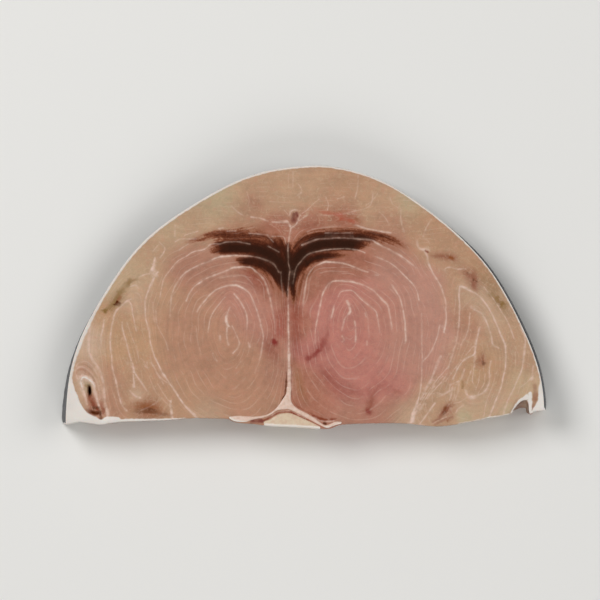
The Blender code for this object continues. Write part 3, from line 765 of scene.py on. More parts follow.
# %% Dark muscle
DARK_MUSCLE = [
    (2.7, 0.6, 1.0, [(206, 250.5, 0), (216, 249.3, 0.5), (225, 248.4), (240, 248), (252, 249), (262, 251.3),
        (272, 256), (279, 262), (284, 270), (286.5, 281, 0.8), (287, 291, 0.3), (287, 298, 0)]),
    (1.8, 0.55, 0.9, [(234, 258.8, 0), (241, 260.5, 0.7), (250, 261.5), (260, 264), (268, 268.5),
        (275, 275), (281, 283, 0.8), (285, 292, 0.3), (286, 300, 0)]),
    (1.2, 0.5, 0.8, [(250, 256.5, 0.4), (262, 259), (271, 264), (278, 271.5), (283, 281, 0.5)]),
    (2.6, 1.0, 0.22, [(204, 236, 0), (214, 232, 0.12), (228, 230.5, 0.14), (244, 230.5), (258, 232.5),
        (270, 236.5), (280, 244, 0.4)]),
    (2.3, 0.95, 0.38, [(190, 240, 0.05), (203, 237.5, 0.11), (214, 236.5, 0.22), (226, 236, 0.32),
        (240, 236.5), (252, 237.5), (264, 239.5, 0.32), (274, 243.5, 0.55), (282, 250, 0.8),
        (287, 260, 0.8)]),
    (1.6, 0.95, 0.42, [(208, 243, 0), (220, 241.5), (238, 241), (254, 242), (266, 245.5, 0.55),
        (276, 250.5, 0.7)]),
    (0.8, 0.95, 0.16, [(196, 236.5, 0), (206, 234.5), (218, 233.6), (232, 234), (246, 234.5, 0)]),
    (0.7, 0.95, 0.22, [(182, 243.5, 0), (192, 241), (203, 239.6), (212, 239.5, 0)]),
    (2.4, 0.95, 0.24, [(238, 263, 0), (250, 266), (260, 271), (268, 279, 0.2), (276, 290, 0.16),
        (281, 303, 0.08), (283, 316, 0)]),
    (2.6, 0.45, 1.0, [(291, 283, 0.5), (292, 272, 0.9), (295.5, 262), (302, 253.7), (312, 248),
        (325, 244.7), (340, 244), (352, 244), (360, 244.3, 0.7), (367, 243, 0.25), (375, 241.5, 0)]),
    (2.0, 0.6, 0.9, [(293, 284, 0.4), (295, 275, 0.9), (300, 267), (308, 261), (318, 257), (328, 255, 0.8),
        (336, 254.3, 0.55), (346, 254.3, 0.26), (358, 255.5, 0)]),
    (2.2, 0.9, 0.5, [(290, 262), (293, 252), (299, 244.5), (308, 239), (320, 236), (335, 234.5),
        (350, 234.5, 0.46), (360, 236, 0.4), (370, 238, 0.3), (380, 240, 0)]),
    (2.4, 1.0, 0.28, [(297, 246, 0.1), (305, 238.5), (316, 234, 0.22), (330, 232, 0.18), (346, 231.5, 0.2),
        (362, 232.5), (376, 235, 0.22), (392, 238.5, 0.13), (406, 244, 0)]),
    (1.4, 0.9, 0.5, [(308, 242, 0.1), (318, 237.5), (332, 236), (348, 236), (362, 237.5), (374, 241, 0)]),
    (3.0, 1.0, 0.17, [(362, 243, 0.1), (378, 242), (393, 245), (410, 251, 0)]),
    (1.7, 1.0, 0.28, [(352, 236), (370, 237, 0.24), (382, 238.5, 0.2), (394, 241.5, 0.16),
        (405, 245.5, 0.14), (416, 251, 0)]),
    (0.8, 0.9, 0.26, [(362, 233, 0), (372, 233.5), (384, 235), (398, 239, 0)]),
    (0.8, 0.5, 0.8, [(283, 268), (285, 280), (286.3, 290, 0.6), (286.6, 300, 0)]),
    (1.1, 0.6, 0.9, [(292, 268), (292.5, 280), (293.2, 288, 0.85), (293.5, 295, 0.7), (293.6, 301, 0.3),
        (293.6, 306, 0)]),
    (1.6, 0.5, 0.8, [(288.5, 245, 0.4), (288.5, 256), (288.5, 268), (288.8, 281, 0.4)]),
    (1.8, 0.9, 0.26, [(299, 303, 0), (299, 289), (303, 279), (311, 271), (322, 265, 0)]),
]


LIGHTEST_BRUSH = 0.45


def brushed(places, brushes):
    """How much soft brush strokes cover each place, from 0 to 1."""
    bare = np.ones(len(places))
    for half_width, softness, strength, pixels in brushes:
        line = sampled(half_width, strength, pixels, fading=0.1)
        reach = half_width * (1.0 + softness)
        close = np.flatnonzero(np.all((places > line[:, :2].min(axis=0) - reach)
                                      & (places < line[:, :2].max(axis=0) + reach), axis=1))
        away, number = nearest(tree_of(line), places[close])
        pressed = line[number, 3]
        firmness = np.clip(pressed / strength, 0.0, 1.0)
        width = half_width * (LIGHTEST_BRUSH + (1.0 - LIGHTEST_BRUSH) * firmness)
        cover = pressed * smoothstep(1.0 + softness, 1.0 - softness, away / width)
        bare[close] *= 1.0 - cover
    return 1.0 - bare


left_wing = brushed(on_steak([(240, 249)]), DARK_MUSCLE)
print("the core of the left wing is", round(float(left_wing[0]), 2), "dark")

# %% [markdown]
# The same brush lays broad, soft tints over the ground tones: blood that has spread from a vessel, rust
# beside the dark muscle, and olive and amber round the small traces of it at the sides. A dark tint
# inside the notch is painted shade there, over the brown of its flesh.

# %% Soft tints
TINTS = [
    (BLOOD, (3.6, 1.0, 0.46, [(261, 336, 0.1), (268, 344), (274, 353), (280, 363, 0.1)])),
    (BLOOD, (2.2, 1.0, 0.26, [(275, 342, 0.1), (279, 332), (282, 316, 0.1)])),
    (RUST, (2.8, 1.0, 0.3, [(318, 265, 0.1), (332, 259), (350, 256.5), (372, 260, 0.1)])),
    (RUST, (3.0, 1.0, 0.24, [(218, 228, 0.05), (232, 222), (246, 224), (262, 226), (280, 232, 0.1)])),
    (RUST, (2.2, 1.0, 0.18, [(234, 200, 0.1), (242, 210), (256, 216), (274, 218, 0.1)])),
    (RUST, (2.4, 1.0, 0.22, [(296, 240, 0.1), (306, 230), (322, 224), (344, 224), (366, 230, 0.05)])),
    (BLOOD, (2.8, 1.0, 0.4, [(309, 358), (317, 352), (323, 345), (328, 334, 0.12)])),
    (BLOOD, (3.2, 1.0, 0.34, [(318, 360, 0.1), (328, 375), (340, 388), (352, 392), (368, 392, 0.1)])),
    (BLOOD, (2.8, 1.0, 0.28, [(364, 393, 0.1), (380, 386), (396, 391, 0.1)])),
    (RUST, (1.9, 1.0, 0.5, [(376, 388, 0.1), (371, 402), (369, 411)])),
    (RUST, (3.8, 1.0, 0.56, [(234, 262, 0.1), (245, 268), (256, 274), (267, 285), (272, 298, 0.05)])),
    (RUST, (2.4, 1.0, 0.9, [(292.5, 284), (294, 296), (295.5, 312, 0.5), (297, 336, 0.1)])),
    (BARK, (1.4, 1.0, 0.85, [(292.8, 282), (293.4, 292), (294.0, 299, 0.55), (294.8, 306, 0.15),
        (295, 312, 0)])),
    (BLOOD, (2.6, 1.0, 0.34, [(294, 306, 0.1), (296, 326), (295, 350), (294, 372, 0.1)])),
    (OLIVE, (2.0, 1.0, 0.3, [(295, 362, 0.1), (297, 376), (301, 390), (307, 402, 0.1)])),
    (RUST, (1.7, 1.0, 0.5, [(283, 288), (285, 304), (285, 325, 0.1)])),
    (RUST, (3.0, 1.0, 0.34, [(318, 209, 0.1), (333, 214), (346, 218), (362, 222, 0.1)])),
    (RUST, (2.2, 1.0, 0.26, [(246, 192, 0.05), (252, 200), (258, 207), (262, 212, 0.05)])),
    (OLIVE, (2.8, 1.0, 0.36, [(474, 263, 0.1), (487, 280), (496, 294), (503, 306), (510, 322, 0.1)])),
    (AMBER, (3.4, 1.0, 0.62, [(124, 409, 0.05), (138, 408, 0.4), (150, 408), (160, 412, 0.4),
        (172, 416, 0.05)])),
    (AMBER, (1.8, 0.9, 0.5, [(89.6, 396), (92, 402), (97, 409)])),
    (RUST, (3.0, 1.0, 0.6, [(479, 352, 0.1), (482, 361), (488, 360, 0.1)])),
    (RUST, (2.8, 1.0, 0.55, [(454, 403, 0.1), (447, 411), (437, 420, 0.1)])),
    (RUST, (2.6, 1.0, 0.5, [(459, 268, 0.1), (469, 274), (474, 283), (477, 293, 0.1)])),
    # painted shade inside the notch, over its brown flesh
    (BRUISE, (2.0, 1.0, 0.7, [(516.5, 410), (519.5, 405.5), (523, 403.4), (525, 406)])),
    (OLIVE, (2.2, 1.0, 0.48, [(104, 312, 0.2), (112, 306), (119, 297), (130, 283, 0.1)])),
    (RUST, (1.7, 1.0, 0.48, [(426, 254, 0.1), (440, 256), (454, 258)])),
]


def tinted(places):
    """The ground colour with the soft tints laid over it."""
    tone = flesh_tone(places)
    for colour, brush in TINTS:
        cover = brushed(places, [brush])[:, None]
        tone = tone * (1.0 - cover) + np.array(linear(colour)) * cover
    return tone


print(len(TINTS), "soft tints")

# %% [markdown]
# White fascia has a crisp border, so it is drawn as closed shapes: a wedge in the left corner, the flap
# at the right corner, and a band round the notch beside it. What the shader needs is the distance to
# the border, positive inside. The wedges go on down the wall; the band is only a rim.

# %% White fascia
WEDGES = [
    [(70.8, 372), (72.3, 380), (73.6, 385), (75.5, 391), (78, 397), (80, 402), (83, 407.5), (86.5, 412),
     (91, 414.8), (96, 416.8), (101, 419.6), (106, 417), (111, 416.6), (119, 417.8), (119, 424),
     (62, 426), (64, 400), (67, 384)],
    [(539.4, 371), (541.6, 377), (543, 384), (545, 392), (547, 400), (547, 413), (531.5, 413),
     (533, 409), (535.5, 404.5), (538, 399), (538.2, 391.2), (539.2, 385.9), (540, 380)],
]
BANDS = [
    [(528.3, 393.5), (531, 392), (532.4, 396), (531.6, 399), (532.4, 403), (531.6, 410), (531, 417),
     (529, 417), (528.2, 411), (528, 402)],
    [(80.2, 382), (81, 378.6), (83.4, 376.6), (86.3, 377.2), (89.6, 379.4), (92.6, 382.4),
     (94.6, 386.4), (93.9, 386.7), (91.9, 383), (89, 380.3), (86, 378.2), (83.6, 377.7), (82, 379.2),
     (81.4, 382.2), (82.4, 386.6), (81.7, 386.8)],
    [(509.5, 417.5), (511.5, 411), (515, 404.5), (519, 399.8), (523, 396.8), (527, 394), (529.5, 396.5),
     (528, 399.6), (524.5, 400.8), (521, 403), (518, 407), (516, 411.5), (515, 418)],
]


def signed_distance(shapes, places):
    """How far places lie inside the nearest closed shape: negative outside."""
    best = np.full(len(places), -1e3)
    for shape in shapes:
        loop = smooth_through(on_steak(shape), 0.15, closed=True)
        away, _ = nearest(tree_of(loop), places)
        best = np.maximum(best, np.where(inside(loop, places), away, -away))
    return best


wedge_loops = [smooth_through(on_steak(shape), 0.5, closed=True) for shape in WEDGES + BANDS]
print(len(WEDGES) + len(BANDS), "shapes of fascia")

# %% [markdown]
# The steak has four small hollows: a deep pit and a tear where a vessel left the left corner, the vessel
# over the septum, and a gap between two flakes. The solid has them too, at nearly the same sizes. Each
# is a bell: deepest in the middle, with sides that run out softly into the flesh.

# %% Hollows
HOLLOWS = [
    # pixel, half length, half width, lean in degrees, depth
    ((89.5, 390.8), 2.5, 0.75, 4.0, 7.0),
    ((95.5, 410.0), 3.4, 1.8, 62.0, 1.6),
    ((295.0, 216.6), 2.1, 1.3, 0.0, 1.4),
    ((446.0, 410.0), 3.2, 1.1, -38.0, 1.5),
]
STEEPNESS = 1.6

hollow_places = on_steak([place for place, *_ in HOLLOWS])


def hollow_depth(places):
    """How deep the hollows are at each place."""
    depth = np.zeros(len(places))
    for middle_place, (_, length, width, lean, deepest) in zip(hollow_places, HOLLOWS):
        offset = places - middle_place
        turn = math.radians(lean)
        across = offset[:, 0] * math.cos(turn) + offset[:, 1] * math.sin(turn)
        along = offset[:, 1] * math.cos(turn) - offset[:, 0] * math.sin(turn)
        away = (across / width) ** 2 + (along / length) ** 2
        depth = np.maximum(depth, deepest * np.exp(-STEEPNESS * away))
    return depth


print("the deepest hollow is", max(deepest for *_, deepest in HOLLOWS), "mm deep")

# %% [markdown]
# ## The grain of the muscle
# Inside each flake the fibres show as faint streaks along the rings. That needs a number that grows
# from the core outward and is whole on each membrane. The membranes are drawn only where they show, so
# a few closed guides, drawn through them and on round the core, give the number in every direction.

# %% Guides round each core
GUIDES = {
    "left_lobe": ((228, 322), [
        [(230, 305), (240, 318), (241, 338), (229, 356), (219, 348), (215, 330), (219, 314)],
        [(230, 292), (244, 308), (247, 330), (241, 361), (225, 371), (211, 346), (208, 332), (213, 313)],
        [(233, 285), (252, 298), (261, 325), (255, 373), (230, 391), (205, 370), (195, 326), (206, 299)],
        [(240, 267), (265, 282), (275, 321), (268, 383), (235, 408), (199, 388), (183, 342), (189, 294),
         (212, 276)],
        [(225, 256), (265, 260), (281, 300), (278, 390), (240, 424), (190, 405), (168, 350), (172, 294),
         (199, 265)],
        [(227, 242), (268, 247), (286, 310), (280, 425), (240, 445), (176, 405), (155, 340), (164, 278),
         (193, 252)],
        [(228, 228), (285, 240), (288, 400), (240, 470), (178, 396), (149, 331), (149, 289), (165, 255),
         (200, 234)],
    ]),
    "right_lobe": ((352, 322), [
        [(350, 300), (341, 325), (348, 346), (358, 338), (358, 322)],
        [(345, 290.6), (363, 301), (378, 321), (376, 350), (352, 368), (333, 350), (331, 318), (338, 297)],
        [(334, 281), (360, 284), (382, 300), (392, 329), (387, 365), (357, 390), (324, 370), (315, 340),
         (321, 302)],
        [(330, 262), (361, 270), (392, 285), (405, 324), (398, 380), (358, 408), (314, 385), (301, 335),
         (310, 272)],
        [(330, 249.4), (365, 253), (402, 273), (421, 320), (408, 400), (355, 428), (305, 402), (292, 310),
         (302, 260)],
        [(320, 239), (370, 240), (416, 268), (433, 315), (420, 390), (355, 445), (298, 415), (289, 300),
         (295, 254)],
        [(330, 226), (400, 236), (439, 283), (446, 321), (416, 409), (350, 460), (292, 430), (288, 300),
         (291, 240)],
    ]),
    "left_belly": ((124, 352), [
        [(122, 318), (132, 352), (140, 385), (128, 384), (117, 350), (117, 332)],
        [(129, 299), (134, 318), (144, 360), (160, 400), (135, 413), (119, 396), (111, 356), (113, 320)],
        [(139, 278), (147, 290), (147, 325), (170, 385), (170, 425), (118, 425), (101, 365), (104, 321)],
        [(150, 265), (160, 340), (200, 420), (130, 445), (95, 395), (88, 348), (100, 305), (132, 272)],
    ]),
    "right_belly": ((478, 362), [
        [(480, 325), (489.5, 370), (484, 392), (465, 390), (463, 365), (476, 344)],
        [(474, 306), (487, 323), (499, 365), (484, 410), (455, 402), (456, 365), (466, 325)],
        [(460, 286), (486, 304), (506, 358), (492, 410), (455, 430), (438, 395), (456, 343), (458, 310)],
        [(450, 268), (491, 296), (524, 352), (505, 412), (450, 445), (420, 405), (440, 360), (448, 310)],
    ]),
}
LOBE_RINGS, FLAKE, THINNEST = 7, 5.0, 0.6


def ring_number(name, places):
    """How many membranes lie between a place and the core of its cone."""
    pixel, guides = GUIDES[name]
    core = on_steak([pixel])[0]
    offset = places - core
    angle, away = np.arctan2(offset[:, 1], offset[:, 0]), np.hypot(*offset.T)
    fences = [np.zeros(len(places))]
    for guide in guides:
        loop = smooth_through(on_steak(guide), 0.5, closed=True) - core
        reach = np.interp(angle, np.arctan2(loop[:, 1], loop[:, 0]), np.hypot(*loop.T), period=2 * math.pi)
        fences.append(np.maximum(reach, fences[-1] + THINNEST))
    number = np.maximum(away - fences[-1], 0.0) / FLAKE
    for inner, outer in zip(fences, fences[1:]):
        number += np.clip((away - inner) / (outer - inner), 0.0, 1.0)
    return number


def grain(places):
    """Coordinates across the streaks, in millimetres, and how much a place is lobe or belly."""
    lobe = np.minimum(ring_number("left_lobe", places), ring_number("right_lobe", places))
    belly = np.minimum(ring_number("left_belly", places), ring_number("right_belly", places))
    in_lobe = smoothstep(LOBE_RINGS + 0.6, LOBE_RINGS - 0.1, lobe)
    in_belly = (1.0 - in_lobe) * smoothstep(24.0, 12.0, places[:, 1])
    return lobe * FLAKE, belly * FLAKE, in_lobe, in_belly


print("a flake is about", FLAKE, "mm thick")

# %% [markdown]
# ## The mesh of the flesh
# The piece is one closed mesh, made of three parts that share their borders: a wall of rows and columns,
# the upper cut face, and the flat underside. Near the rim the rows crowd together to round the edge, and
# along the arch they step in to make room for the skin. Sculpting could do this, but rows in a loop keep
# to the solid's wall to a hair.

# %% Heights of the rows
SKIN_THICKNESS = 0.6
FLESH_INSET = 0.5
DERMIS_STANDS = 0.3
WALL_ROWS = np.concatenate([[0.0, 0.01, 0.03, 0.06, 0.1], np.linspace(0.16, 1.0, 14)])
RIM_DROP = 1.35
RIM_ROWS = [
    # below the rim, inset at the front, inset over the lip, share of the step under the lip
    (0.85, 0.00, 0.00, 1.0), (0.66, 0.01, 0.00, 0.0), (0.40, 0.06, 0.00, 0.0),
    (0.18, 0.18, 0.06, 0.0), (0.05, 0.34, 0.20, 0.0), (0.00, 0.55, 0.42, 0.0),
]
rim_height = swell_at(top_outline) + DERMIS_STANDS * skin_share
wall = []
for share in WALL_ROWS:
    row_heights = share * (rim_height - RIM_DROP)
    spot = at_height(row_heights) + inward * (FLESH_INSET * skin_share)[:, None]
    wall.append(np.column_stack([spot, row_heights]))
for drop, front_inset, lip_inset, under_lip in RIM_ROWS:
    row_heights = rim_height - drop
    uncovered = np.maximum(under_lip, 1.0 - lip)
    inset = np.where(is_skin, (FLESH_INSET * uncovered + lip_inset) * skin_share, front_inset)
    inset = np.maximum(inset, front_inset * (1.0 - skin_share))
    wall.append(np.column_stack([at_height(row_heights) + inward * inset[:, None], row_heights]))
wall = np.array(wall)
rim_loop, foot_loop = wall[-1, :, :2], wall[0, :, :2]
print(len(wall), "rows of", columns, "columns")

# %% [markdown]
# The cut face needs a mesh that is fine where something happens and coarser where the flesh is plain. A
# constrained Delaunay triangulation makes one from scattered points: rows along each stroke with one row
# on either side, dense points in the hollows, and a plain grid for the rest. A point that comes too near
# an earlier one is dropped, so that no triangle gets too thin.

# %% Scatter the points
FACE_STEP, FOOT_STEP = 1.0, 1.7
SPACING = 0.36
NEIGHBOURS = [(dx, dy) for dx in (-1, 0, 1) for dy in (-1, 0, 1)]


def hexagonal(low_corner, high_corner, step):
    rows = np.arange(low_corner[1], high_corner[1], step * math.sqrt(0.75))
    return np.array([(x + (number % 2) * step / 2, y) for number, y in enumerate(rows)
                     for x in np.arange(low_corner[0], high_corner[0], step)])


def beside_lines(lines, step, side):
    """Points along each line and on both sides of it."""
    points = []
    for line in lines:
        line = evenly(line, max(2, round(length_of(line) / step)))[:, :2]
        along = np.gradient(line, axis=0)
        across = np.column_stack([-along[:, 1], along[:, 0]]) / np.linalg.norm(along, axis=1, keepdims=True)
        points += [line, line + across * side, line - across * side]
    return np.concatenate(points)


def well_inside(loop, places, margin):
    return places[inside(loop, places) & (nearest(tree_of(loop), places)[0] > margin)]


def thinned(groups):
    """Points of all groups, without those nearer to an earlier one than their group's gap."""
    cells, kept = {}, []
    size = max(gap for _, gap in groups)
    for points, gap in groups:
        for x, y in points:
            column, row = int(x // size), int(y // size)
            around = (spot for dx, dy in NEIGHBOURS for spot in cells.get((column + dx, row + dy), ()))
            if all((x - near_x) ** 2 + (y - near_y) ** 2 > gap * gap for near_x, near_y in around):
                cells.setdefault((column, row), []).append((x, y))
                kept.append((x, y))
    return np.array(kept)


hollow_grid = hexagonal((-6.0, -6.0), (6.0, 6.0), 0.45)
in_hollows = np.concatenate([hollow_grid + place for place in hollow_places])
in_hollows = in_hollows[hollow_depth(in_hollows) > 0.02]
face_inner = thinned([
    (beside_lines(membranes.lines, 0.6, 0.45), SPACING), (in_hollows, SPACING),
    (beside_lines(wedge_loops, 0.6, 0.35), 0.3), (beside_lines(stains.lines, 0.5, 0.5), 0.4),
    (hexagonal(low, high, FACE_STEP), 0.7)])
face_inner = well_inside(rim_loop, face_inner, 0.35)
foot_inner = thinned([
    (beside_lines(membranes.lines, 1.3, 0.6), 0.8), (hexagonal(low, high, FOOT_STEP), 1.1)])
foot_inner = well_inside(foot_loop, foot_inner, 0.5)
print(len(face_inner), "points inside the cut face,", len(foot_inner), "inside the underside")

# %% [markdown]
# Each point gets its height from the swell, the grooves at the membranes, the flakes between them, the
# streaks of the grain and the hollows.

# %% Relief of the cut face
GROOVE_DEPTH, GROOVE_REACH = 0.24, 0.9
THREAD_STANDS = 0.12
FASCIA_STANDS = 0.25


def relief_at(places):
    """How far the face stands above its swell."""
    ratio, number = membranes.near(places)
    half, strength = membranes.samples[number, 2], membranes.samples[number, 3]
    away = ratio * half
    dent = -GROOVE_DEPTH * (0.3 + 0.7 * strength) * np.exp(-(away / GROOVE_REACH) ** 2)
    thread = (THREAD_STANDS + 0.3 * smoothstep(0.3, 0.7, half)) * strength * np.exp(-(away / half) ** 2)
    fascia = FASCIA_STANDS * smoothstep(-0.3, 0.9, signed_distance(WEDGES + BANDS, places))
    lobe, belly, in_lobe, in_belly = grain(places)
    across = in_lobe * lobe + in_belly * belly + (1.0 - in_lobe - in_belly) * places[:, 1]
    streak = 0.05 * cloud(np.column_stack([across / 1.3, places[:, 0] / 14, places[:, 1] / 14]), 1.0, 2)
    rough = 0.12 * cloud(flat(places), 6.0) + 0.03 * cloud(flat(places), 1.6, 2)
    return dent + thread + fascia + streak + rough - hollow_depth(places)


def face_height(places):
    return swell_at(places) + relief_at(places)


some = face_inner[::20]
print("the relief is", round(float(np.ptp(relief_at(some) + hollow_depth(some))), 2), "mm deep")

# %% [markdown]
# The faces come in two kinds. Squares fill a wall, row by row. A cap is triangulated inside the wall's
# own edge, and its triangles are then renumbered, so that wall and cap share the points between them.

# %% Faces of walls and caps
def triangles(loop, inner):
    """Triangles of the area inside a loop, as numbers into the loop and then the inner points."""
    points = [Vector(point) for point in (*loop, *inner)]
    rim = [(number, (number + 1) % len(loop)) for number in range(len(loop))]
    _, _, faces, sources, _, _ = delaunay_2d_cdt(points, rim, [], 1, 1e-6)
    return [[sources[corner][0] for corner in face] for face in faces]


def wall_faces(rows, around):
    """The squares between rows of points round a closed loop."""
    faces = []
    for first in range(0, (rows - 1) * around, around):
        for here in range(around):
            after = (here + 1) % around
            faces.append((first + here, first + after, first + around + after, first + around + here))
    return faces


def capped(faces, around, loop_first, inner_first):
    """Triangles renumbered from a loop of a cap and its inner points to those of the whole mesh."""
    return [[corner + loop_first if corner < around else corner - around + inner_first for corner in face]
            for face in faces]


print("two rows of 9 points make", len(wall_faces(2, 9)), "squares")

# %% [markdown]
# The wall gets a rough knife cut at the front: faint upright streaks, and shallow steps where flakes
# part. Beside the backbone it makes room for the cartilage. It only ever moves inward, so the piece
# stays inside the solid.

# %% Roughen the front
CUT_ROUGHNESS = 0.22
FLAKE_STEP, FLAKE_STEP_REACH = 0.25, 0.9
CARTILAGE_ENDS, CARTILAGE_ROOM = (-18.2, 7.4), 0.5

ratio, number = membranes.near(top_outline)
away = ratio * membranes.samples[number, 2]
flake_edge = membranes.samples[number, 3] * np.exp(-(away / FLAKE_STEP_REACH) ** 2)
left_end, right_end = CARTILAGE_ENDS
beside_bone = smoothstep(left_end - 0.6, left_end + 0.6, top_outline[:, 0])
beside_bone *= smoothstep(right_end + 0.6, right_end - 0.6, top_outline[:, 0]) * (1.0 - skin_share)
for row in range(2, len(wall) - 1):
    spots = wall[row]
    streaks = cloud(np.column_stack([spots[:, 0] / 1.1, spots[:, 1] / 1.1, spots[:, 2] / 9.0]), 1.0, 3)
    dents = CUT_ROUGHNESS * (0.5 + 0.5 * streaks) + FLAKE_STEP * flake_edge
    fade = (1.0 - skin_share) * smoothstep(0.0, 2.5, corner_distance) * min(1.0, (len(wall) - 1 - row) / 4)
    wall[row, :, :2] += inward * (np.clip(dents, 0.0, 0.5) * fade)[:, None]
wall[:, :, :2] += inward * (CARTILAGE_ROOM * beside_bone)[:, None]
print("the front is up to", round(float(np.clip(dents, 0.0, 0.5).max()), 2), "mm rough")

# %% [markdown]
# The three parts are now joined. Points that the roughened wall has come too near to are dropped first.
# The triangles of the underside are turned round, so that they look down.

# %% Join wall, face and underside
rim_loop, foot_loop = wall[-1, :, :2], wall[0, :, :2]
face_inner = well_inside(rim_loop, face_inner, 0.3)
face_z = face_height(face_inner)
foot_inner = well_inside(foot_loop, foot_inner, 0.4)

wall_points = wall.reshape(-1, 3)
face_first = len(wall_points)
flesh_points = np.concatenate([wall_points, np.column_stack([face_inner, face_z]), flat(foot_inner)])
flesh_faces = wall_faces(len(wall), columns)
flesh_faces += capped(triangles(rim_loop, face_inner), columns, face_first - columns, face_first)
underside = [face[::-1] for face in triangles(foot_loop, foot_inner)]
flesh_faces += capped(underside, columns, 0, face_first + len(face_inner))
flesh_points[:, 2] = np.minimum(flesh_points[:, 2], high[2])
print(len(flesh_points), "points and", len(flesh_faces), "faces")

# %% [markdown]
# A small function turns points and faces into an object with a material, shaded smooth, that rides on
# the frame's only body. Another stores a number or a colour at each point of a mesh.

# %% Make an object
def make_piece(name, points, faces, material):
    mesh = bpy.data.meshes.new(name)
    mesh.from_pydata((np.asarray(points) * MM).tolist(), [], faces)
    mesh.materials.append(material)
    mesh.shade_smooth()
    made = bpy.data.objects.new(name, mesh)
    bpy.context.collection.objects.link(made)
    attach(made, "root")
    return made


def add_attribute(piece, name, values):
    """Store one number, or one colour, at each point of the mesh, for the material to read."""
    values = np.asarray(values, np.float32)
    if values.ndim == 1:
        piece.data.attributes.new(name, "FLOAT", "POINT").data.foreach_set("value", values)
    else:
        opaque = np.column_stack([values, np.ones(len(values))]).astype(np.float32)
        piece.data.attributes.new(name, "FLOAT_COLOR", "POINT").data.foreach_set("color", opaque.ravel())


flesh_material = bpy.data.materials.new("fresh_swordfish_flesh")
flesh = make_piece("steak_flesh", flesh_points, flesh_faces, flesh_material)
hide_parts(STEAK)
print("the flesh has", sum(len(face) - 2 for face in flesh_faces), "triangles")

# %% [markdown]
# ## What the mesh tells the material
# The drawing reaches the shader as attributes, numbers stored at the points of the mesh. A texture image
# could hold the drawing too, but attributes need no file and no unwrapping, and they stay sharp because
# the mesh has its points where the strokes are. The cones of muscle lean, so the pattern is read a
# little further up the slice the deeper a point lies, and it wanders down the cut wall. A stain is a
# smear on the face and fades with depth, and the wedges of fascia lean with the corners they fill.

# %% Attributes of the flesh
THICKNESS = 20.0
CONE_LEAN = np.array([1.4, 2.4])
WANDER = 3.6
WANDER_SIZE = (14.0, 14.0, 7.0)
STRIP_WIDTHS = {-97: 1.0, -88: 1.7, -80: 1.3, -73: 1.1, -68: 0.95, -60: 0.8, -55: 0.5, -50: -1.0,
                68: -1.0, 71: 0.45, 78: 0.5, 85: 0.7, 94: 0.6, 96: -1.0}
BAND_NARROWS, STRIP_NARROWS = 1.5, 0.5
STAIN_DEPTH = 9.0
WEDGE_LEAN = {-110: 0.75, -60: 0.75, -40: 0.0, 60: 0.0, 100: -0.25}

depth = np.clip(swell_at(flesh_points[:, :2]) - flesh_points[:, 2], 0.0, THICKNESS)
depth[face_first:face_first + len(face_inner)] = 0.0
adrift = flesh_points / WANDER_SIZE
wander = np.column_stack([cloud(adrift, 1.0, 3), cloud(adrift + 40.0, 1.0, 3)])
places = flesh_points[:, :2] + depth[:, None] / THICKNESS * (CONE_LEAN + WANDER * wander)
on_face = smoothstep(2.2, 1.4, depth)

line_ratio, number = membranes.near(places)
add_attribute(flesh, "line", np.minimum(line_ratio, 6.0))
add_attribute(flesh, "line_white", membranes.samples[number, 3])
stain_ratio, number = stains.near(places)
add_attribute(flesh, "stain", np.minimum(stain_ratio, 4.0))
add_attribute(flesh, "stain_strength", stains.samples[number, 3] * smoothstep(STAIN_DEPTH, 0.5, depth))
add_attribute(flesh, "stain_tint", stain_colours[number])
add_attribute(flesh, "tone", tinted(places))
add_attribute(flesh, "dark", brushed(places, DARK_MUSCLE))
strip = np.interp(flesh_points[:, 0], list(STRIP_WIDTHS), list(STRIP_WIDTHS.values()))
bands = np.maximum(signed_distance(BANDS, places) - BAND_NARROWS * depth,
                   strip - front_distance(flesh_points[:, :2]) - STRIP_NARROWS * depth)
lean = np.interp(places[:, 0], list(WEDGE_LEAN), list(WEDGE_LEAN.values()))
leaning = places + flat(lean * depth)
add_attribute(flesh, "fascia", np.clip(np.maximum(signed_distance(WEDGES, leaning), bands), -4.0, 4.0))
for name, values in zip(("lobe", "belly", "in_lobe", "in_belly"), grain(places)):
    add_attribute(flesh, name, values)
print(len(flesh.data.attributes), "attributes")

# %% [markdown]
# The skin is backed by dermis, a tough white layer. On the cut face it shows as a pale rim, a millimetre
# and a half wide down the left side and thinner elsewhere. The distance to the arch, divided by the
# rim's own width there, tells the shader where it is. The hollows are told by their depth.

# %% The rim of dermis and the hollows
RIM_WIDTHS = {-112: 1.2, -106: 1.1, -103: 1.5, -98: 1.5, -93: 1.1, -88: 1.0, -60: 0.9, 0: 0.75, 60: 0.7,
              75: 1.1, 112: 1.15}

from_skin, _ = nearest(tree_of(top_outline[front_count:]), flesh_points[:, :2])
rim_width = np.interp(flesh_points[:, 0], list(RIM_WIDTHS), list(RIM_WIDTHS.values()))
add_attribute(flesh, "rim", np.clip(from_skin / rim_width, 0.0, 4.0) + 4.0 * (1.0 - on_face))
add_attribute(flesh, "hollow", hollow_depth(flesh_points[:, :2]) * on_face)
print("the rim of dermis is", min(RIM_WIDTHS.values()), "to", max(RIM_WIDTHS.values()), "mm wide")

# %% [markdown]
# ## Flesh: raw white muscle, knife-cut and moist
# Raw fish is a watery gel of fibres. Light enters it and scatters, which softens every edge, and a film
# of moisture gives a weak, broad gloss. The Principled shader has both: subsurface scattering for the
# gel, and a thin coat for the moisture. Its refractive index is that of water and protein, about 1.38.
# Places are turned into millimetres first, so that every noise gets the size of what it stands for:
# clouds of fat 9 mm wide, a mottle of about 2 mm and a grit of half a millimetre.

# %% Node helper and shared coordinates
def emptied(material):
    """The node tree of a material, without its nodes."""
    material.use_nodes = True
    material.node_tree.nodes.clear()
    return material.node_tree


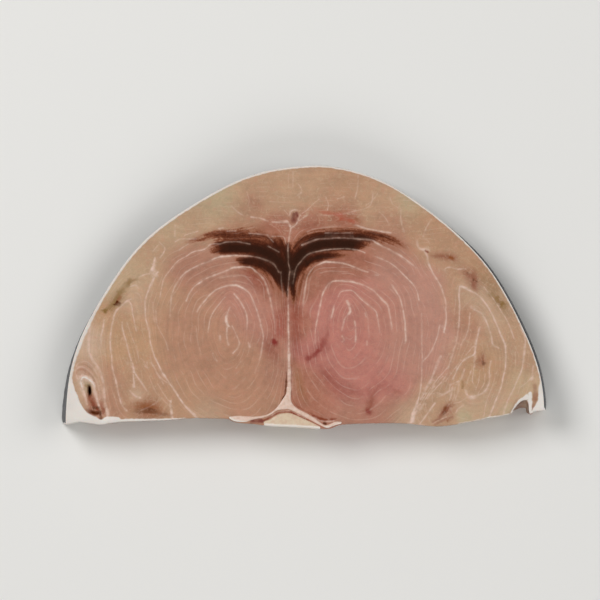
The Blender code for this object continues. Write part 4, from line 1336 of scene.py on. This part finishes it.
def add(kind, inputs, output=0, **settings):
    """Add a node to the tree that was emptied last, and return one of its outputs.

    Each input is a value, or the output that it is linked to."""
    made = tree.nodes.new("ShaderNode" + kind)
    for name, value in settings.items():
        setattr(made, name, value)
    for name, value in inputs.items():
        if isinstance(value, bpy.types.NodeSocket):
            tree.links.new(value, made.inputs[name])
        else:
            made.inputs[name].default_value = value
    return made.outputs[output] if made.outputs else None


tree = emptied(flesh_material)
in_mm = add("VectorMath", {0: add("TexCoord", {}, "Object"), "Scale": 1.0 / MM}, operation="SCALE")
told = {name: add("Attribute", {}, "Fac", attribute_name=name)
        for name in ("line", "line_white", "stain", "stain_strength", "dark", "fascia",
                     "lobe", "belly", "in_lobe", "in_belly", "rim", "hollow")}
coloured = {name: add("Attribute", {}, "Color", attribute_name=name) for name in ("tone", "stain_tint")}
clouds = add("TexNoise", {"Vector": in_mm, "Scale": 1 / 9.0, "Detail": 4.0})
mottle = add("TexNoise", {"Vector": in_mm, "Scale": 1 / 2.2, "Detail": 3.0})
grit = add("TexNoise", {"Vector": in_mm, "Scale": 1 / 0.5, "Detail": 2.0})
print("the material reads", len(told) + len(coloured), "attributes")

# %% [markdown]
# The streaks of the grain come from three noises. Each is squeezed across its fibres and stretched along
# them, by giving the noise a vector whose first number runs fast across the fibres. A folded copy of the
# same number, swayed by a broad noise, gives the faint thin sheets between the strong membranes. The
# attributes that say lobe, belly or band blend the three.

# %% Streaks of fibre and faint sheets
FIBRE_PITCH = 1.2
FIBRE_LENGTH = 28.0
BAND_SQUEEZE = 0.35
SHEET_GAP = 2.1
SHEET_SWAY = 5.0

east, north, _ = add("SeparateXYZ", {0: in_mm}).node.outputs
sway = add("TexNoise", {"Vector": in_mm, "Scale": 1 / 16.0, "Detail": 1.0})
streaks, sheets = {}, {}
for name, across, squeeze in (("lobe", told["lobe"], 1.0), ("belly", told["belly"], 1.0),
                              ("band", north, BAND_SQUEEZE)):
    squeezed = add("Math", {0: across, 1: squeeze * FIBRE_LENGTH / FIBRE_PITCH}, operation="MULTIPLY")
    vector = add("CombineXYZ", {"X": squeezed, "Y": east, "Z": north})
    streaks[name] = add("TexNoise", {"Vector": vector, "Scale": 1.0 / FIBRE_LENGTH, "Detail": 2.0,
                                     "Roughness": 0.6})
    swayed = add("Math", {0: sway, 1: SHEET_SWAY, 2: across}, operation="MULTIPLY_ADD")
    sheets[name] = add("Math", {0: swayed, 1: SHEET_GAP / 2}, operation="PINGPONG")


def blended(patterns):
    """The pattern of the lobes, the bellies or the band, each in its own place."""
    beside = add("Mix", {0: told["in_belly"], 2: patterns["band"], 3: patterns["belly"]})
    return add("Mix", {0: told["in_lobe"], 2: beside, 3: patterns["lobe"]})


fibre = blended(streaks)
sheet = blended(sheets)
print("fibres show", FIBRE_PITCH, "mm apart and faint sheets", SHEET_GAP, "mm")

# %% [markdown]
# The colours of the steak are built up like paint, in layers. A layer covers what lies below it only
# where some measure, such as a noise or an attribute, has passed a start, and fully where it is full.

# %% One layer over another
MIX_FACTOR, MIX_FIRST, MIX_SECOND, MIXED = 0, 6, 7, 2
SOFT = {"interpolation_type": "SMOOTHSTEP"}


def layered(below, above, measure, start=None, full=1.0, most=1.0, **ends):
    """One colour over another. Without a start, the measure is the cover itself."""
    if start is not None:
        span = {"Value": measure, "From Min": start, "From Max": full, "To Max": most}
        measure = add("MapRange", span, **ends)
    colours = {MIX_FIRST: below, MIX_SECOND: above}
    for socket, colour in colours.items():
        if isinstance(colour, str):
            colours[socket] = (*linear(colour), 1)
    return add("Mix", {MIX_FACTOR: measure, **colours}, MIXED, data_type="RGBA")


print("a colour mix uses the sockets", MIX_FACTOR, MIX_FIRST, "and", MIX_SECOND)

# %% [markdown]
# The ground tone of the zones is first varied by the noises. Multiplying by a grey close to one makes a
# colour lighter or darker and leaves its hue alone, which is what thickness and moisture do. Woolly pale
# flecks of fat follow, mostly outside the lobes, and a touch of pink where the mottle is strong.

# %% Varied ground colour
VARIATION = ((clouds, 0.09), (fibre, 0.07), (mottle, 0.08), (grit, 0.06))
LESS_IN_LOBES = 0.7

ground = coloured["tone"]
for pattern, amount in VARIATION:
    shade = add("MapRange", {"Value": pattern, "From Min": 0.25, "From Max": 0.75,
                             "To Min": 1.0 - amount, "To Max": 1.0 + amount})
    ground = add("Mix", {MIX_FACTOR: 1.0, MIX_FIRST: ground, MIX_SECOND: shade}, MIXED,
                 data_type="RGBA", blend_type="MULTIPLY")
wool = add("TexNoise", {"Vector": in_mm, "Scale": 1 / 1.6, "Detail": 3.0, "Distortion": 1.2})
outside = add("Math", {0: told["in_lobe"], 1: -LESS_IN_LOBES, 2: 1.0}, operation="MULTIPLY_ADD")
flecks = add("MapRange", {"Value": wool, "From Min": 0.52, "From Max": 0.75, "To Max": 0.45})
flecks = add("Math", {0: flecks, 1: outside}, operation="MULTIPLY")
ground = layered(ground, "#CBAF93", flecks)
ground = layered(ground, "#B27A66", mottle, 0.5, 0.8, 0.4)
print("the tone varies by", round(sum(amount for _, amount in VARIATION), 2), "at most")

# %% [markdown]
# Dark muscle is streaky and woolly where it thins out, because its fibres reach out between the pale
# ones. The product of darkness and paleness is largest half way, so the fibres and the wool are added in
# that measure. A ramp then takes the flesh through russet and bark to almost black.

# %% Dark muscle in the material
STREAKINESS = 4.2
WOOLLINESS = 2.6
DARK_RAMP = {0.0: "#AC745A", 0.25: "#8E543A", 0.5: "#64321E", 0.75: "#472013", 1.0: "#331B12"}

paleness = add("Math", {0: 1.0, 1: told["dark"]}, operation="SUBTRACT")
half_way = add("Math", {0: told["dark"], 1: paleness}, operation="MULTIPLY")
centred = -0.5 * (STREAKINESS + WOOLLINESS)
pushed = add("Math", {0: fibre, 1: STREAKINESS, 2: centred}, operation="MULTIPLY_ADD")
pushed = add("Math", {0: wool, 1: WOOLLINESS, 2: pushed}, operation="MULTIPLY_ADD")
darkness = add("Math", {0: pushed, 1: half_way, 2: told["dark"]}, operation="MULTIPLY_ADD", use_clamp=True)
ramp = add("ValToRGB", {"Fac": darkness})
stops = ramp.node.color_ramp.elements
for position in list(DARK_RAMP)[1:-1]:
    stops.new(position)
for stop, colour in zip(stops, DARK_RAMP.values()):
    stop.color = (*linear(colour), 1)
ground = layered(ground, ramp, darkness, 0.02, 0.3)
print("dark muscle passes through", len(stops), "tones")

# %% [markdown]
# A membrane is a thin white sheet seen edge on. It has a crisp core, broken here and there, and a soft
# halo where the sheet dips under clear flesh. The faint sheets show only in patches, a little more often
# in the lobes. Inside the dark muscle a membrane is stained, so its white is mixed with brown there.

# %% Membranes in the material
HALO = 0.1
FAINTNESS = 0.19
MORE_IN_LOBES = 0.04

broken = add("MapRange", {"Value": mottle, "From Min": 0.3, "From Max": 0.6, "To Min": 0.35})
thread = add("MapRange", {"Value": told["line"], "From Min": 2.1, "From Max": 0.15}, **SOFT)
halo = add("MapRange", {"Value": told["line"], "From Min": 5.0, "From Max": 0.0, "To Max": HALO}, **SOFT)
whole = add("Math", {0: thread, 1: broken}, operation="MULTIPLY")
whole = add("Math", {0: whole, 1: halo}, operation="MAXIMUM")
whole = add("Math", {0: whole, 1: told["line_white"]}, operation="MULTIPLY", use_clamp=True)
thin = add("MapRange", {"Value": sheet, "From Min": 0.26, "From Max": 0.05, "To Max": FAINTNESS}, **SOFT)
patches = add("TexNoise", {"Vector": in_mm, "Scale": 1 / 6.0, "Detail": 3.0})
patches = add("Math", {0: told["in_lobe"], 1: MORE_IN_LOBES, 2: patches}, operation="MULTIPLY_ADD")
shown = add("MapRange", {"Value": patches, "From Min": 0.46, "From Max": 0.62})
faint = add("Math", {0: thin, 1: shown}, operation="MULTIPLY")
faint = add("Math", {0: faint, 1: paleness}, operation="MULTIPLY")
whole = add("Math", {0: whole, 1: faint}, operation="MAXIMUM")
ground = layered(ground, layered("#E0C2B2", "#9A7866", darkness), whole)
print("the halo keeps", HALO, "of a membrane's white")

# %% [markdown]
# Stains lie over the membranes. After them come the fascia and the rim of dermis, both opaque white with
# a warm cast, and last the hollows, a dark red-brown that deepens with depth: blood in them, and painted
# shade down the hole. The mottle makes the border of each waver.

# %% Stains, fascia, rim and hollows
BORDERS = {
    # how much it wavers, where it starts, where it is full, how strong it gets
    "stain": (2.2, 2.0, 0.3, 1.0),
    "fascia": (0.9, -0.3, 0.35, 1.0),
    "rim": (0.8, 1.3, 0.75, 0.92),
}

uneven = add("Math", {0: mottle, 1: -0.5}, operation="ADD")
cover = {}
for name, (waver, start, full, most) in BORDERS.items():
    wavering = add("Math", {0: uneven, 1: waver, 2: told[name]}, operation="MULTIPLY_ADD")
    span = {"Value": wavering, "From Min": start, "From Max": full, "To Max": most}
    cover[name] = add("MapRange", span, **SOFT)
stained = add("Math", {0: cover["stain"], 1: told["stain_strength"]}, operation="MULTIPLY")
ground = layered(ground, coloured["stain_tint"], stained)
white = add("Math", {0: cover["fascia"], 1: cover["rim"]}, operation="MAXIMUM")
ground = layered(ground, layered("#ECE6DF", "#D6CDC5", clouds), white)
# painted shade: the hollows turn a blood red-brown, darker the deeper they go
ground = layered(ground, "#4A1E0E", told["hollow"], 1.4, 4.4, **SOFT)
print("dermis and fascia share one white")

# %% [markdown]
# Bump gives the eye the fine fibre ends that the mesh is too coarse for. The roughness is that of damp
# flesh. The reflections and the film of moisture follow the brightness of the ground, so the dark muscle
# gleams less than the pale flesh: its fibres are coarser, and a strong gloss would turn it grey.

# %% Gloss and bump of the flesh
GLOSS = {"sheen": (0.03, 0.5), "film": (0.0, 0.1)}

rough = add("MapRange", {"Value": mottle, "From Min": 0.3, "From Max": 0.7, "To Min": 0.38, "To Max": 0.58})
fine = add("Math", {0: fibre, 1: 0.6, 2: grit}, operation="MULTIPLY_ADD")
bump = add("Bump", {"Height": fine, "Strength": 0.35, "Distance": 0.2 * MM})
brightness = add("RGBToBW", {"Color": ground})
gloss = {}
for name, (in_dark, in_pale) in GLOSS.items():
    gloss[name] = add("MapRange", {"Value": brightness, "From Min": 0.02, "From Max": 0.22,
                                   "To Min": in_dark, "To Max": in_pale})
shader = add("BsdfPrincipled", {
    "Base Color": ground, "Roughness": rough, "Normal": bump, "IOR": 1.38,
    "Specular IOR Level": gloss["sheen"], "Subsurface Weight": 0.12,
    "Subsurface Radius": (1.0, 0.45, 0.28), "Subsurface Scale": 0.9 * MM,
    "Coat Weight": gloss["film"], "Coat Roughness": 0.22, "Coat IOR": 1.33})
add("OutputMaterial", {"Surface": shader})
print("the flesh material has", len(tree.nodes), "nodes")

# %% [markdown]
# ## The septum and the cartilage
# At the middle of the straight edge the slice was cut just beside the backbone. What is left of it is a
# lens of cream cartilage, roofed by the forked foot of the septum. Both have crisp borders and stand a
# little above the flesh, so they are a piece of their own: closed islands, each with a domed top and a
# wall that goes down into the flesh, or down the whole cut edge. There the lens has the waist of a
# vertebra, and a white sheath where it meets the flesh.

# %% Borders of the fork and the lens
FORK = [(286.9, 387), (286.7, 391), (286, 394), (284.5, 396.4), (280.2, 403), (276.8, 407.4),
        (272.4, 411.4), (265, 415.2), (253, 416.6), (239.4, 415.8), (229.5, 416.8), (231, 419.5),
        (236, 421.5), (245, 422), (250.5, 420.4), (256, 418.9), (265, 417.2), (271, 414.6),
        (277, 410.6), (283, 409.6), (289.4, 409.6), (297.5, 413.4), (304.6, 417), (312, 421),
        (320, 425.2), (327, 427.9), (332, 426.4), (336.5, 424.8), (341, 423.6), (341, 421.8),
        (335, 421.9), (328.5, 424.6), (324, 425), (318.5, 421.2), (312, 416.6), (305, 412.4),
        (297.6, 408.6), (292.8, 404.2), (290.9, 399.6), (290.8, 394), (291, 387)]
CARTILAGE = [(263.6, 423.2), (264.2, 421.4), (270, 419.4), (276, 415.4), (283, 413.4), (290, 413.2),
             (296, 415.4), (305, 419.2), (313, 423), (319, 426), (320.3, 427.2), (319.4, 429.2),
             (312, 433), (295, 434), (275, 433), (267.5, 429.5), (264.6, 425.5)]
ISLANDS = (
    # shape, foot, how far it stands in the middle and at its edge, whether it is the lens
    (FORK, None, 0.35, 0.02, 0.0),
    (CARTILAGE, 0.02, 0.55, -0.05, 1.0),
)

print(len(FORK), "points draw the fork and", len(CARTILAGE), "the lens")

# %% [markdown]
# The wall of an island is a stack of copies of its border. Where the border lies at the cut edge, each
# copy follows the solid's own wall, and the waist is narrower. The top is a dome that rises steeply at
# the border and soon levels off, since flesh shrinks back from collagen by about the same everywhere.

# %% Shape of an island
HOURGLASS = 0.12
AT_FRONT = 0.3
ISLAND_LEVELS = (0.0, 0.02, 0.15, 0.3, 0.45, 0.6, 0.75, 0.9, 0.97, 0.99, 1.0)
ISLAND_RINGS = (0.28, 0.6)
BURIED = 1.5

fronts = [line[:front_count][front_order].T for line in outlines]


def front_at(x, height):
    """Where the cut wall of the solid stands at one height."""
    return np.interp(height, CUT_HEIGHTS, [np.interp(x, *front) for front in fronts])


def island(shape, foot, stands, edge_stands):
    """A closed island: points, faces, and how far each point lies from the island's two ends.

    Its foot is a height, or None to end just below the face."""
    loop = anticlockwise(smooth_through(on_steak(shape), 0.5, closed=True))
    at_front = front_distance(loop) < AT_FRONT
    loop[at_front, 1] -= front_distance(loop)[at_front] - AT_FRONT
    rings = [loop + inward_of(loop) * inset for inset in ISLAND_RINGS]
    inner = thinned([(loop, 0.01), *((ring, 0.2) for ring in rings),
                     (hexagonal(loop.min(axis=0), loop.max(axis=0), 0.6), 0.34)])[len(loop):]
    inner = well_inside(loop, inner, 0.16)
    around = len(loop)
    edge_height = np.maximum(face_height(loop), swell_at(loop) - 0.1) + edge_stands
    rows, from_ends = [], []
    middle, half_span = (loop[:, 0].max() + loop[:, 0].min()) / 2, np.ptp(loop[:, 0]) / 2
    lowest = np.full(around, foot) if foot is not None else edge_height - BURIED
    for share in ISLAND_LEVELS:
        heights = lowest + share * (edge_height - lowest)
        front_y = np.array([front_at(x, height) for x, height in zip(loop[:, 0], heights)])
        rounded = 0.25 * smoothstep(0.97, 1.0, share) + 0.02
        waist = np.where(at_front, 1.0 - HOURGLASS * math.sin(math.pi * share), 1.0)
        rows.append(np.column_stack([middle + (loop[:, 0] - middle) * waist,
                                     np.where(at_front, front_y + rounded, loop[:, 1]), heights]))
        from_ends.append((half_span - np.abs(loop[:, 0] - middle)) * waist)
    rim = rows[-1][:, :2]
    from_rim, _ = nearest(tree_of(rim), inner)
    dome = edge_stands + stands * (1.0 - np.exp(-from_rim / 0.4)) + 0.05 * cloud(flat(inner), 1.5, 2)
    top = np.column_stack([inner, swell_at(inner) + dome])
    bottom = np.column_stack([inner, np.full(len(inner), rows[0][:, 2].mean())])
    top_first = len(rows) * around
    faces = wall_faces(len(rows), around)
    faces += capped(triangles(rim, inner), around, top_first - around, top_first)
    bottom_faces = [face[::-1] for face in triangles(rows[0][:, :2], inner)]
    faces += capped(bottom_faces, around, 0, top_first + len(inner))
    from_ends += [half_span - np.abs(inner[:, 0] - middle)] * 2
    return np.concatenate([*rows, top, bottom]), faces, np.concatenate(from_ends)


print("the wall of an island has", len(ISLAND_LEVELS), "rows")

# %% [markdown]
# Both islands go into one mesh. Its attributes tell the material which points are the lens, and where
# collagen is whitest: in a strip along the cut edge, and in the sheath at the two ends of the lens.

# %% Build the islands
WHITE_STRIP = 0.9
SHEATH = 1.2

fascia_points, fascia_faces, lens_share, end_distance = [], [], [], []
for shape, foot, stands, edge_stands, is_lens in ISLANDS:
    points, faces, from_ends = island(shape, foot, stands, edge_stands)
    end_distance.append(from_ends)
    fascia_faces += [[corner + sum(map(len, fascia_points)) for corner in face] for face in faces]
    fascia_points.append(points)
    lens_share += [is_lens] * len(points)
fascia_points = np.concatenate(fascia_points)
fascia_points[:, 1:] = np.clip(fascia_points[:, 1:], (low[1] + 0.02, 0.0), high[1:])
cartilage_material = bpy.data.materials.new("cut_cartilage_and_fascia")
cartilage = make_piece("steak_cartilage", fascia_points, fascia_faces, cartilage_material)
add_attribute(cartilage, "lens", lens_share)
buried = swell_at(fascia_points[:, :2]) - fascia_points[:, 2]
strip = smoothstep(1.6, 0.8, front_distance(fascia_points[:, :2]) / WHITE_STRIP)
strip *= smoothstep(2.4, 0.6, buried)
sheath = smoothstep(SHEATH + 0.5, SHEATH - 0.5, np.concatenate(end_distance))
sheath *= lens_share * smoothstep(0.3, 1.2, buried)
strip = np.maximum(strip, 0.8 * sheath)
add_attribute(cartilage, "strip", strip)
print("the islands have", len(fascia_faces), "faces")

# %% [markdown]
# Cartilage and fascia are dense collagen: pale, a little translucent and wetter-looking than muscle.
# The lens is cream, the fork is pinker, and both whiten at the cut edge. Noises drawn out upright give
# the fibres of the cut wall, and a finer one the pores.

# %% Cartilage and fascia: dense collagen, knife-cut
tree = emptied(cartilage_material)
in_mm = add("VectorMath", {0: add("TexCoord", {}, "Object"), "Scale": 1.0 / MM}, operation="SCALE")
lens, strip = (add("Attribute", {}, "Fac", attribute_name=name) for name in ("lens", "strip"))
patches = add("TexNoise", {"Vector": in_mm, "Scale": 1 / 2.0, "Detail": 3.0})
pores = add("TexNoise", {"Vector": in_mm, "Scale": 1 / 0.4, "Detail": 2.0})
upright = add("VectorMath", {0: in_mm, 1: (1.0, 1.0, 0.12)}, operation="MULTIPLY")
fibres = add("TexNoise", {"Vector": upright, "Scale": 1 / 1.3, "Detail": 3.0})
pale = layered("#E6CABB", "#DCC7AC", lens)
pale = layered(pale, "#D3A48F", patches, 0.45, 0.75, 0.55)
pale = layered(pale, "#C9A98C", fibres, 0.4, 0.75, 0.5)
pale = layered(pale, "#EFE6DC", strip)
bump = add("Bump", {"Height": pores, "Strength": 0.3, "Distance": 0.15 * MM})
shader = add("BsdfPrincipled", {
    "Base Color": pale, "Roughness": 0.42, "Normal": bump, "IOR": 1.45, "Subsurface Weight": 0.15,
    "Subsurface Radius": (1.0, 0.6, 0.45), "Subsurface Scale": 0.8 * MM, "Coat Weight": 0.15,
    "Coat Roughness": 0.2})
add("OutputMaterial", {"Surface": shader})
print("the cartilage material has", len(tree.nodes), "nodes")

# %% [markdown]
# ## The skin
# Swordfish skin is leather without scales, slate grey, under a millimetre thick. It wraps the arch only.
# A shell with a real thickness shows its cut edges at both corners and along the top, which a painted
# wall couldn't. Its outer face is the solid's wall, and shallow wrinkles only go inward from there.

# %% Build the shell
SKIN_TOP_HIDDEN, SKIN_TOP_SHOWN = 0.72, 0.12
WRINKLES = 0.16
RAGGED_SKIRT = 0.3

shell_columns = np.concatenate([np.arange(front_count - 1, columns), [0]])
skin_top = rim_height - (SKIN_TOP_SHOWN + (SKIN_TOP_HIDDEN - SKIN_TOP_SHOWN) * lip)
outer_rows, inner_rows = [], []
for share in np.concatenate([[0.0, 0.01, 0.03, 0.06], np.linspace(0.1, 0.97, 16), [1.0]]):
    heights = share * skin_top
    spots = at_height(heights)
    ragged = cloud(np.column_stack([spots / 3.0, heights / 1.6]), 1.0, 3)
    wrinkles = WRINKLES + RAGGED_SKIRT * smoothstep(-88.0, -104.0, spots[:, 0])
    pressed = wrinkles * (0.5 + 0.5 * np.clip(ragged, -1, 1)) + 0.2 * smoothstep(0.97, 1.0, share)
    backing = SKIN_THICKNESS + wrinkles - WRINKLES
    outer_rows.append(np.column_stack([spots + inward * pressed[:, None], heights]))
    inner_rows.append(np.column_stack([spots + inward * backing[:, None], heights]))
profile = np.array(outer_rows + inner_rows[::-1])[:, shell_columns]
around, shell_length = profile.shape[:2]
skin_faces = []
for row in range(around):
    for column in range(shell_length - 1):
        here, above = row * shell_length + column, (row + 1) % around * shell_length + column
        skin_faces.append((here, here + 1, above + 1, above))
for row in range(around // 2 - 1):
    first = [row, row + 1, around - 2 - row, around - 1 - row]
    skin_faces.append([number * shell_length for number in reversed(first)])
    skin_faces.append([number * shell_length + shell_length - 1 for number in first])
skin_material = bpy.data.materials.new("slate_fish_leather")
skin = make_piece("steak_skin", profile.reshape(-1, 3), skin_faces, skin_material)
print("the skin has", len(skin_faces), "faces")

# %% [markdown]
# The skin is damp leather: dark slate, mottled with brown, scuffed pale where it was handled, and finely
# grained. Its gloss is a little sharper than that of the flesh.

# %% Skin: raw fish leather, scraped
tree = emptied(skin_material)
in_mm = add("VectorMath", {0: add("TexCoord", {}, "Object"), "Scale": 1.0 / MM}, operation="SCALE")
mottle = add("TexNoise", {"Vector": in_mm, "Scale": 1 / 14.0, "Detail": 4.0})
drawn_up = add("VectorMath", {0: in_mm, 1: (1.0, 1.0, 0.3)}, operation="MULTIPLY")
scuffs = add("TexNoise", {"Vector": drawn_up, "Scale": 1 / 2.0, "Detail": 4.0})
grains = add("TexVoronoi", {"Vector": in_mm, "Scale": 1 / 0.6}, "Distance")
slate = layered("#15181D", "#42444B", mottle, 0.3, 0.7)
slate = layered(slate, "#6B6864", scuffs, 0.5, 0.8, 0.4)
bump = add("Bump", {"Height": grains, "Strength": 0.4, "Distance": 0.12 * MM})
shader = add("BsdfPrincipled", {
    "Base Color": slate, "Roughness": 0.48, "Normal": bump, "IOR": 1.4, "Coat Weight": 0.15,
    "Coat Roughness": 0.25})
add("OutputMaterial", {"Surface": shader})
print("the skin material has", len(tree.nodes), "nodes")

# %% [markdown]
# ## Floor, light and camera
# A large pale floor and broad area lights give the even light of a packing table. The lights are placed
# so that a white card on the floor would come out just under white, and then a colour on the steak
# shows as it was mixed. The view transform is Standard for the same reason.

# %% Floor
FLOOR_HALF = 3.0
FLOOR_CORNERS = ((-1, -1), (1, -1), (1, 1), (-1, 1))

floor_material = bpy.data.materials.new("matt_white_laminate")
tree = emptied(floor_material)
shader = add("BsdfPrincipled", {"Base Color": (*linear("#E9E8E5"), 1), "Roughness": 0.85})
add("OutputMaterial", {"Surface": shader})
floor_mesh = bpy.data.meshes.new("floor")
corners = [(x * FLOOR_HALF, y * FLOOR_HALF, 0) for x, y in FLOOR_CORNERS]
floor_mesh.from_pydata(corners, [], [(0, 1, 2, 3)])
floor_mesh.materials.append(floor_material)
floor = bpy.data.objects.new("floor", floor_mesh)
bpy.context.collection.objects.link(floor)
print("the floor is", 2 * FLOOR_HALF, "m wide")

# %% [markdown]
# The key light stands on the left and a little behind, where it skims the face and brings out the
# flakes. Two weaker lights fill in from the front and the right, and a grey world keeps the shadows soft.

# %% Lights
LIGHTS = {
    "key": ((-0.9, 0.7, 1.3), 0.9, 16.0),
    "fill_right": ((1.1, 0.3, 1.2), 1.2, 7.5),
    "fill_front": ((0.1, -1.2, 1.1), 1.2, 7.0),
}
WORLD_STRENGTH = 0.23

for name, (place, size, power) in LIGHTS.items():
    data = bpy.data.lights.new(name, "AREA")
    data.shape = "DISK"
    data.size = size
    data.energy = power
    light = bpy.data.objects.new(name, data)
    light.location = place
    light.rotation_euler = (-Vector(place)).to_track_quat("-Z", "Y").to_euler()
    light.visible_camera = False
    bpy.context.collection.objects.link(light)
world = bpy.data.worlds.new("pale_room")
bpy.context.scene.world = world
world.use_nodes = True
backdrop = world.node_tree.nodes["Background"]
backdrop.inputs["Color"].default_value = (*linear("#F4F4F2"), 1)
backdrop.inputs["Strength"].default_value = WORLD_STRENGTH
bpy.context.scene.view_settings.view_transform = "Standard"
print(len(LIGHTS), "lights")

# %% [markdown]
# The picture was taken from straight above. A long lens from three metres away keeps the walls nearly
# hidden, as they are in the picture, and its focal length follows from the width of the view.

# %% Camera
CAMERA_HEIGHT = 3.0
SENSOR = 36.0

aim = on_steak([(300, 300)])[0]
view_width = 600 * MM_PER_PIXEL * MM
camera_data = bpy.data.cameras.new("camera")
camera_data.sensor_width = SENSOR
camera_data.lens = SENSOR * CAMERA_HEIGHT / view_width
camera = bpy.data.objects.new("camera", camera_data)
camera.location = (aim[0] * MM, aim[1] * MM, CAMERA_HEIGHT + 20.5 * MM)
bpy.context.collection.objects.link(camera)
bpy.context.scene.camera = camera
print("the lens is", round(camera_data.lens, 1), "mm")

# %% [markdown]
# ## The end

# %% Finish
print("the swordfish steak scene is built")
